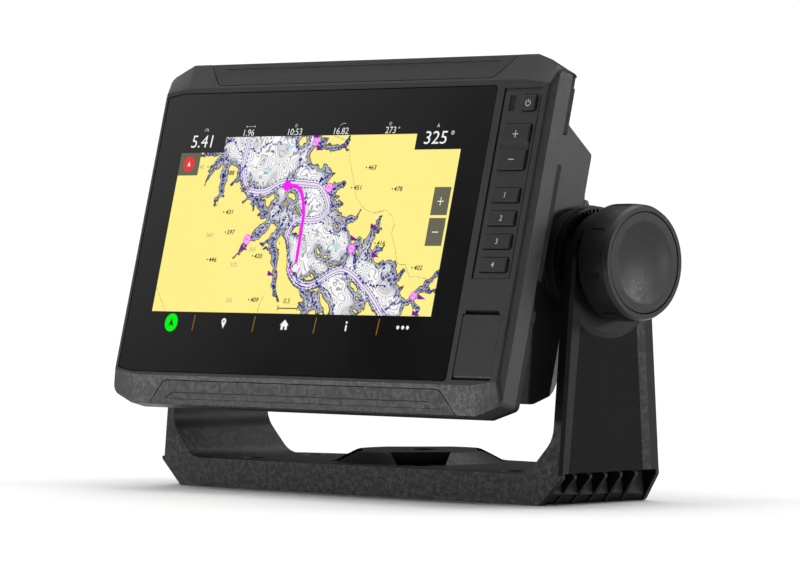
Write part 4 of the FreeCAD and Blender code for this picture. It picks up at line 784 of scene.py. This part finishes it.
def field_icons(d):
    """Small signs over the data fields: speed, distance, time, course, bearing and heading."""
    d.arc((12.2, 82.6), 1.1, 0.28, "pale", 0, 180, 20)
    d.line([(12.2, 82.6), (12.9, 83.3)], 0.25, "pale")
    d.disc((35.0, 84.3), 0.35, "pale", 16)
    d.disc((39.6, 84.3), 0.35, "pale", 16)
    d.line([(35.6, 84.3), (39.0, 84.3)], 0.16, "pale")
    d.arc((63.0, 84.3), 0.62, 0.18, "pale")
    d.line([(63.0, 84.7), (63.0, 84.3), (63.3, 84.1)], 0.14, "pale")
    d.line([(87.2, 83.8), (88.6, 84.8), (90.4, 84.8)], 0.18, "pale")
    d.arc((114.6, 84.3), 0.62, 0.18, "pale")
    north_arrow(d, (114.6, 84.3), 0.42, "pale")
    north_arrow(d, (140.4, 83.2), 0.95, "pale")


def data_fields(d):
    """Numbers in the top fields."""
    d.numerals("5.41", (10.7, 78.5), 5.1, "white", 0.06, 1.1, -0.002)
    for text, u in (("1.96", 36.8), ("10:53", 62.8), ("16.82", 88.4), ("273", 115.2)):
        d.numerals(text, (u, 81.8), 2.6, "white", 0.06, 1.05, -0.006)
    d.numerals("325", (140.0, 78.5), 5.1, "white", 0.06, 1.16, 0.0)
    d.arc((148.6, 80.3), 0.62, 0.28, "white")
    d.arc((119.6, 82.7), 0.28, 0.14, "white", sides=20)
    field_icons(d)


def lower_bar(d):
    """Signs in the bottom bar, with slanted dividers between them."""
    d.disc((12.5, 4.2), 3.65, "green")
    for u in (25.4, 59.5, 93.4, 127.4):
        d.polygon([(u - 0.45, 1.1), (u + 0.05, 1.1), (u + 0.45, 7.4), (u - 0.05, 7.4)], "amber")
    d.polygon([(42.5, 2.2), (41.3, 4.6), (43.7, 4.6)], "white")
    d.arc((42.5, 5.1), 0.85, 0.85, "white")
    d.polygon([(76.6, 6.3), (74.2, 4.1), (79.0, 4.1)], "white")
    d.box(74.9, 2.3, 76.1, 4.1, "white")
    d.box(77.1, 2.3, 78.3, 4.1, "white")
    d.box(76.1, 3.5, 77.1, 4.1, "white")
    d.disc((110.4, 5.7), 0.5, "white", 24)
    d.box(110.0, 2.3, 110.8, 4.7, "white")
    for u in (138.0, 140.6, 143.1):
        d.disc((u, 4.2), 0.75, "white", 32)
    d.next_layer()
    north_arrow(d, (12.5, 4.1), 1.9, "black")


def route(d):
    """Magenta course from the boat to its mark."""
    path = smooth_line([(64, 60), (69, 59.6), (72, 58), (74.5, 53.5), (76, 48.5), (76.4, 42), (76.8, 29)], 5)
    d.line(path, 1.7, "magenta")
    d.next_layer()
    d.disc((64, 60), 2.2, "magenta")
    d.polygon([(75.7, 25.4), (77.9, 25.4), (78.1, 27.0), (76.8, 28.8), (75.5, 27.0)], "white")
    d.arc((76.8, 27.4), 1.4, 0.5, "red", 90, 155, 12)
    d.arc((76.8, 27.4), 1.4, 0.5, "green", 25, 90, 12)
    d.box(75.9, 23.8, 77.7, 25.2, "slate")
    d.arc((76.8, 26.2), 2.4, 0.5, "magenta", 150, 215, 12)
    d.arc((76.8, 26.2), 2.4, 0.5, "magenta", -35, 30, 12)


# Marks on the chart: flags at (u, w), marina rings as (u, w, radius), and figures as (text, u, w).
FLAGS = (
    (44, 35), (62, 24.8), (76.5, 75.2), (113.7, 43.8), (104.3, 39), (117, 32.5), (145.5, 16.3), (144, 10),
)
MARINAS = ((47, 38.2, 2.1), (87.5, 59, 2.0), (105.7, 34.7, 1.9), (143, 16.5, 1.7), (75.5, 77.4, 1.7))
HEIGHTS = (
    ("412", 20, 68), ("388", 30.5, 65.4), ("405", 41, 59), ("431", 34, 49.4), ("397", 37, 41.2),
    ("420", 55, 31.6), ("446", 29.5, 30), ("409", 57.5, 14), ("463", 109, 67), ("451", 103, 59),
    ("478", 125, 58.4), ("455", 151, 43.6), ("416", 121, 37), ("402", 143, 27.5),
)
SOUNDINGS = (
    ("34", 77.7, 52.4), ("41", 84, 52.2), ("52", 85.4, 40.2), ("55", 85.2, 27.4), ("47", 64, 53.8),
    ("38", 112.4, 24.2), ("29", 85.6, 11.6), ("26", 48, 63.6), ("44", 52, 74), ("31", 101, 22),
)
FAINT_HEIGHTS = (("360", 25, 40), ("355", 51, 34.2), ("372", 42, 28), ("350", 43, 13.6), ("340", 12.6, 68))


def map_marks(d):
    """Marina rings, ramp flags and the small figures for depths and heights."""
    for u, w in FLAGS:
        d.polygon([(u, w + 1.1), (u + 0.1, w - 1.1), (u + 4.4, w - 1.0)], "purple")
    d.box(73.6, 79.2, 76.9, 80.1, "purple")
    for u, w, r in MARINAS:
        d.disc((u, w), r - 0.2, "rose")
    d.next_layer()
    for u, w, r in MARINAS:
        d.arc((u, w), r - 0.15, 0.32, "magenta")
        zigzag = [(u - 0.55 * r, w - 0.2 * r), (u - 0.2 * r, w + 0.3 * r), (u + 0.5 * r, w - 0.3 * r)]
        d.line(zigzag, 0.3, "magenta")
    for text, u, w in HEIGHTS:
        d.numerals(text, (u, w), 1.9, "ink", 0.1, 1.15, 0.016)
        d.disc((u - 3.2, w), 0.34, "ink", 16)
    for text, u, w in SOUNDINGS:
        d.numerals(text, (u, w), 1.25, "navy", 0.0, 1.0, 0.01)
    for text, u, w in FAINT_HEIGHTS:
        d.numerals(text, (u, w), 1.7, "faint", 0.1, 1.1, 0.01)


def buttons(d):
    """Zoom squares, the north button and the scale bar."""
    d.box(0.0, 64.5, 11.5, 73.8, "olive")
    d.box(144.3, 48.0, 153.0, 59.0, "olive")
    d.box(144.3, 36.0, 153.0, 46.9, "olive")
    d.next_layer()
    d.disc((5.5, 69.2), 3.2, "red")
    d.line([(147.0, 53.4), (150.2, 53.4)], 0.36, "white")
    d.line([(148.6, 51.8), (148.6, 55.0)], 0.36, "white")
    d.line([(147.0, 41.4), (150.2, 41.4)], 0.36, "white")
    d.line([(71.2, 10.8), (82.2, 10.8)], 0.42, "ink")
    d.line([(71.3, 9.9), (71.3, 11.9)], 0.42, "ink")
    d.line([(82.1, 9.9), (82.1, 11.9)], 0.42, "ink")
    d.numerals("0.5", (75.6, 13.8), 2.0, "ink", 0.1, 1.1, 0.004)
    d.next_layer()
    north_arrow(d, (5.5, 69.1), 1.3, "white")


SCREEN_INKS = {
    "white": (0.93, 0.93, 0.93), "pale": (0.55, 0.55, 0.55), "black": (0.004, 0.02, 0.004),
    "green": (0.004, 0.93, 0.012), "amber": (0.30, 0.14, 0.02), "magenta": (0.95, 0.02, 0.93),
    "rose": (0.95, 0.45, 0.90), "red": (0.80, 0.05, 0.05), "slate": (0.09, 0.09, 0.10),
    "purple": (0.22, 0.015, 0.26), "ink": (0.03, 0.03, 0.035), "navy": (0.03, 0.03, 0.25),
    "faint": (0.52, 0.47, 0.26), "olive": (0.145, 0.14, 0.095),
}


def screen_overlays():
    """Everything that the display draws over its chart."""
    inks = {name: lit("lit_" + name, colour) for name, colour in SCREEN_INKS.items()}
    d = Drawing("screen_overlays", "head", inks, on_screen, OVERLAY_DEPTH, OVERLAY_LIFT)
    data_fields(d)
    map_marks(d)
    d.next_layer()
    route(d)
    d.next_layer()
    buttons(d)
    lower_bar(d)
    d.finish("screen")


# ---------------------------------------------------------------- printed legends on the keys

def printed_ink():
    """White pad-printed ink, a little uneven."""
    g = Graph("white_print")
    mottle = g.noise(2600.0, 2.0)
    g.feed(g.shader.inputs["Base Color"], g.blend(mottle, (0.50, 0.50, 0.50, 1.0), (0.78, 0.78, 0.78, 1.0)))
    g.shader.inputs["Roughness"].default_value = 0.45
    g.bump(mottle, 0.2, 0.00001)
    return g.material


def key_legends():
    """A number or sign on each key, carried by the key."""
    ink = {"print": printed_ink()}
    for i, up in enumerate((12.6, 3.67, -5.26, -14.19)):
        d = Drawing(f"legend_{i + 1}", f"key_{i + 1}", ink, head_point, LEGEND_DEPTH)
        d.numerals(str(i + 1), (KEY_X, up), 2.1, "print", 0.12, 1.0, 0.004)
        d.finish("keycap")
    d = Drawing("legend_zoom", "zoom_rocker", ink, head_point, LEGEND_DEPTH)
    d.line([(91.3, 36.1), (94.1, 36.1)], 0.36, "print")
    d.line([(KEY_X, 34.7), (KEY_X, 37.5)], 0.36, "print")
    d.line([(91.3, 26.3), (94.1, 26.3)], 0.36, "print")
    d.finish("keycap")
    d = Drawing("legend_power", "power_key", ink, head_point, LEGEND_DEPTH)
    d.arc((96.3, 48.1), 1.15, 0.3, "print", 125, 415, 36)
    d.line([(96.3, 48.2), (96.3, 49.6)], 0.3, "print")
    d.finish("keycap")


# ---------------------------------------------------------------- finishes of the CAD pieces

def finishes():
    """One material for each of the record's slots."""
    return {
        "housing": moulded("housing_plastic", 0.013, 0.42, shine=0.5),
        "trim": moulded("trim_plastic", 0.013, 0.43),
        "bracket": moulded("bracket_nylon", 0.006, 0.44, shine=0.22, grain=1500.0, depth=0.00009),
        "knob": moulded("knob_plastic", 0.011, 0.40, shine=0.34, grain=2300.0, depth=0.00004),
        "ratchet": moulded("ratchet_acetal", 0.005, 0.36, grain=2600.0, depth=0.00003),
        "keycap": moulded("key_silicone", 0.014, 0.50, grain=2600.0, depth=0.00004),
        "silicone": moulded("grey_silicone", 0.006, 0.6, grain=2600.0, depth=0.00004),
        "cover_glass": black_glass(),
        "sensor_window": moulded("sensor_polycarbonate", 0.010, 0.22, grain=900.0, depth=0.00001),
        "tape": moulded("foam_tape", 0.02, 0.75, grain=3000.0, depth=0.00010),
        "screen": moulded("panel_polariser", 0.015, 0.2, grain=900.0, depth=0.00001),
        "steel": brushed("plated_steel", (0.56, 0.56, 0.57), 0.34),
        "circuit": circuit_board("solder_mask"),
        "aluminium": brushed("cast_aluminium", (0.66, 0.66, 0.68), 0.5, (1.0, 1.0, 1.0)),
        "ceramic": moulded("antenna_ceramic", 0.55, 0.7, grain=1800.0, tint=(0.55, 0.47, 0.36)),
        "black_plastic": moulded("black_nylon", 0.014, 0.45),
        "brass": brushed("turned_brass", (0.75, 0.55, 0.25), 0.3),
    }


def mark_fields(piece, material):
    """Give the sunk fields on the outside of the arms the given duller, darker plastic, whose darker tone is
    painted shade.
    """
    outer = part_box("bail_bracket")[1][0]
    piece.data.materials.append(material)
    for face in piece.data.polygons:
        sunk = min(abs(outer - abs(piece.data.vertices[i].co.x)) for i in face.vertices)
        in_field = FIELD_SINK[0] < sunk < FIELD_SINK[1] and face.area > FIELD_AREA
        if abs(face.normal.x) > 0.99 and in_field:
            face.material_index = 1


def dress_nodes():
    """Every CAD node gets its slot's material, apart from the rear case and latch lever, which get a darker
    plastic as painted shade; the bracket's sunk fields get a darker, duller plastic whose darker tone is
    painted shade; the mouldings also get rounded edges.
    """
    materials = finishes()
    # The rear case and latch lever get this darker plastic as painted shade between the parts.
    shaded = moulded("rear_plastic_painted_shade", 0.006, 0.48, shine=0.2)
    for part in frame["record"]["subparts"]:
        node = part["node"]
        slot = part["material_slot"]
        if node in SOFT_EDGES:
            finish = shaded if node in SHADED else materials[slot]
            piece = softened(node, SOFT_EDGES[node], finish)
            if node == "bail_bracket":
                # The sunk fields get a darker, duller plastic; the darker tone is painted shade in the
                # recesses.
                field = moulded("bracket_field_painted_shade", 0.004, 0.5, 1500.0, 0.00010, shine=0.08)
                mark_fields(piece, field)
            continue
        mesh = frame["nodes"][node].data
        if not mesh.materials:
            mesh.materials.append(materials[slot])
        for i in range(len(mesh.materials)):
            mesh.materials[i] = materials[slot]


# ---------------------------------------------------------------- studio

def studio_floor():
    """Pale floor that takes the shadows near the object and fades to even white further out."""
    g = Graph("pale_floor")
    darker, paler = (0.90, 0.90, 0.90, 1.0), (0.93, 0.93, 0.93, 1.0)
    g.feed(g.shader.inputs["Base Color"], g.blend(g.noise(3.0), darker, paler))
    g.shader.inputs["Roughness"].default_value = 0.9
    g.shader.inputs["Specular IOR Level"].default_value = 0.0
    distance = g.add("ShaderNodeVectorMath", operation="LENGTH")
    g.feed(distance.inputs[0], g.place)
    even = g.add("ShaderNodeEmission")
    seen = g.add("ShaderNodeLightPath").outputs["Is Camera Ray"]
    g.feed(even.inputs["Strength"], g.step(seen, 0.0, 1.0, FLOOR_GLOW, WHITE))
    fade = g.add("ShaderNodeMixShader")
    g.feed(fade.inputs[0], g.step(distance.outputs["Value"], *FLOOR_FADE))
    g.feed(fade.inputs[1], g.shader.outputs[0])
    g.feed(fade.inputs[2], even.outputs[0])
    g.feed(g.tree.nodes["Material Output"].inputs["Surface"], fade.outputs[0])
    mesh = bpy.data.meshes.new("floor")
    turns = [math.tau * i / FLOOR_SIDES for i in range(FLOOR_SIDES)]
    rim = [(FLOOR_R * math.cos(t), FLOOR_R * math.sin(t), 0.0) for t in turns]
    mesh.from_pydata(rim, [], [range(FLOOR_SIDES)])
    mesh.materials.append(g.material)
    new_object("floor", mesh)


def soft_box(name, place, size, watts, aim=(0.0, 0.0, 0.09)):
    """Rectangular area light aimed at a point, by default the middle of the object."""
    data = bpy.data.lights.new(name, "AREA")
    data.shape = "RECTANGLE"
    data.size, data.size_y = size
    data.energy = watts
    light = new_object(name, data)
    light.location = place
    light.rotation_euler = (Vector(aim) - Vector(place)).to_track_quat("-Z", "Y").to_euler()


class World:
    """Short calls for the nodes of the surroundings."""

    def __init__(self):
        self.world = bpy.data.worlds.new("studio")
        self.world.use_nodes = True
        self.tree = self.world.node_tree
        self.way = self.tree.nodes.new("ShaderNodeTexCoord").outputs["Generated"]

    def link(self, start, end):
        self.tree.links.new(start, end)

    def share(self, direction, low, high, start, end):
        """Smooth ramp from start to end as the way looked turns towards a direction."""
        dot = self.tree.nodes.new("ShaderNodeVectorMath")
        dot.operation = "DOT_PRODUCT"
        self.link(self.way, dot.inputs[0])
        dot.inputs[1].default_value = direction
        ramp = self.tree.nodes.new("ShaderNodeMapRange")
        ramp.interpolation_type = "SMOOTHSTEP"
        self.link(dot.outputs["Value"], ramp.inputs[0])
        for socket, value in zip(ramp.inputs[1:], (low, high, start, end)):
            socket.default_value = value
        return ramp.outputs[0]

    def math(self, operation, first, second):
        node = self.tree.nodes.new("ShaderNodeMath")
        node.operation = operation
        self.link(first, node.inputs[0])
        self.link(second, node.inputs[1])
        return node.outputs[0]

    def background(self, strength):
        shine = self.tree.nodes.new("ShaderNodeBackground")
        shine.inputs["Color"].default_value = (1.0, 1.0, 1.0, 1.0)
        if isinstance(strength, float):
            shine.inputs["Strength"].default_value = strength
        else:
            self.link(strength, shine.inputs["Strength"])
        return shine.outputs[0]


def studio_world():
    """Soft surroundings, brighter above, with one large panel that the cover glass reflects."""
    w = World()
    sky = w.share((0.0, 0.0, 1.0), *SKY_RISE, *SKY_LIGHT)
    panel = w.share(PANEL_WAY, *PANEL_SPREAD, 0.0, PANEL_LIGHT)
    fade = w.share(PANEL_FADE, *PANEL_EDGE, 0.0, 1.0)
    light = w.background(w.math("ADD", sky, w.math("MULTIPLY", panel, fade)))
    path = w.tree.nodes.new("ShaderNodeLightPath")
    mix = w.tree.nodes.new("ShaderNodeMixShader")
    w.link(path.outputs["Is Camera Ray"], mix.inputs[0])
    w.link(light, mix.inputs[1])
    w.link(w.background(WHITE), mix.inputs[2])
    w.link(mix.outputs[0], w.tree.nodes["World Output"].inputs["Surface"])
    bpy.context.scene.world = w.world


def aim_camera():
    """Long lens in front of the object and to its right, close to level."""
    data = bpy.data.cameras.new("camera")
    data.sensor_width = SENSOR_WIDTH
    data.lens = CAMERA_LENS
    data.clip_start = 0.05
    data.clip_end = 100.0
    camera = new_object("camera", data)
    camera.location = CAMERA_PLACE
    turn, dip = math.radians(CAMERA_TURN), math.radians(CAMERA_DIP)
    aim = Vector((-math.sin(turn) * math.cos(dip), math.cos(turn) * math.cos(dip), -math.sin(dip)))
    camera.rotation_euler = aim.to_track_quat("-Z", "Y").to_euler()
    bpy.context.scene.camera = camera


def studio():
    """Floor, lights, surroundings and camera."""
    studio_floor()
    studio_world()
    soft_box("key", (-0.5, -0.9, 2.2), (0.9, 0.9), 12.0)
    soft_box("edge", (-2.2, 0.3, 0.8), (0.7, 0.9), 9.0)
    soft_box("strip", (2.3, 0.45, 0.18), (0.2, 0.5), 27.0)
    soft_box("side", (1.50, 1.95, 0.50), (0.9, 0.4), 11.5)
    soft_box("fill", (-1.75, -1.95, 0.12), (0.8, 0.3), 13.0, (0.0, 0.0, 0.02))
    sun = bpy.data.lights.new("overhead", "SUN")
    sun.energy = SUN_LIGHT
    sun.angle = math.radians(SUN_SPREAD)
    new_object("overhead", sun).rotation_euler.x = math.radians(SUN_LEAN)
    aim_camera()
    bpy.context.scene.view_settings.view_transform = "Standard"


dress_nodes()
chart_sheet()
screen_overlays()
key_legends()
studio()
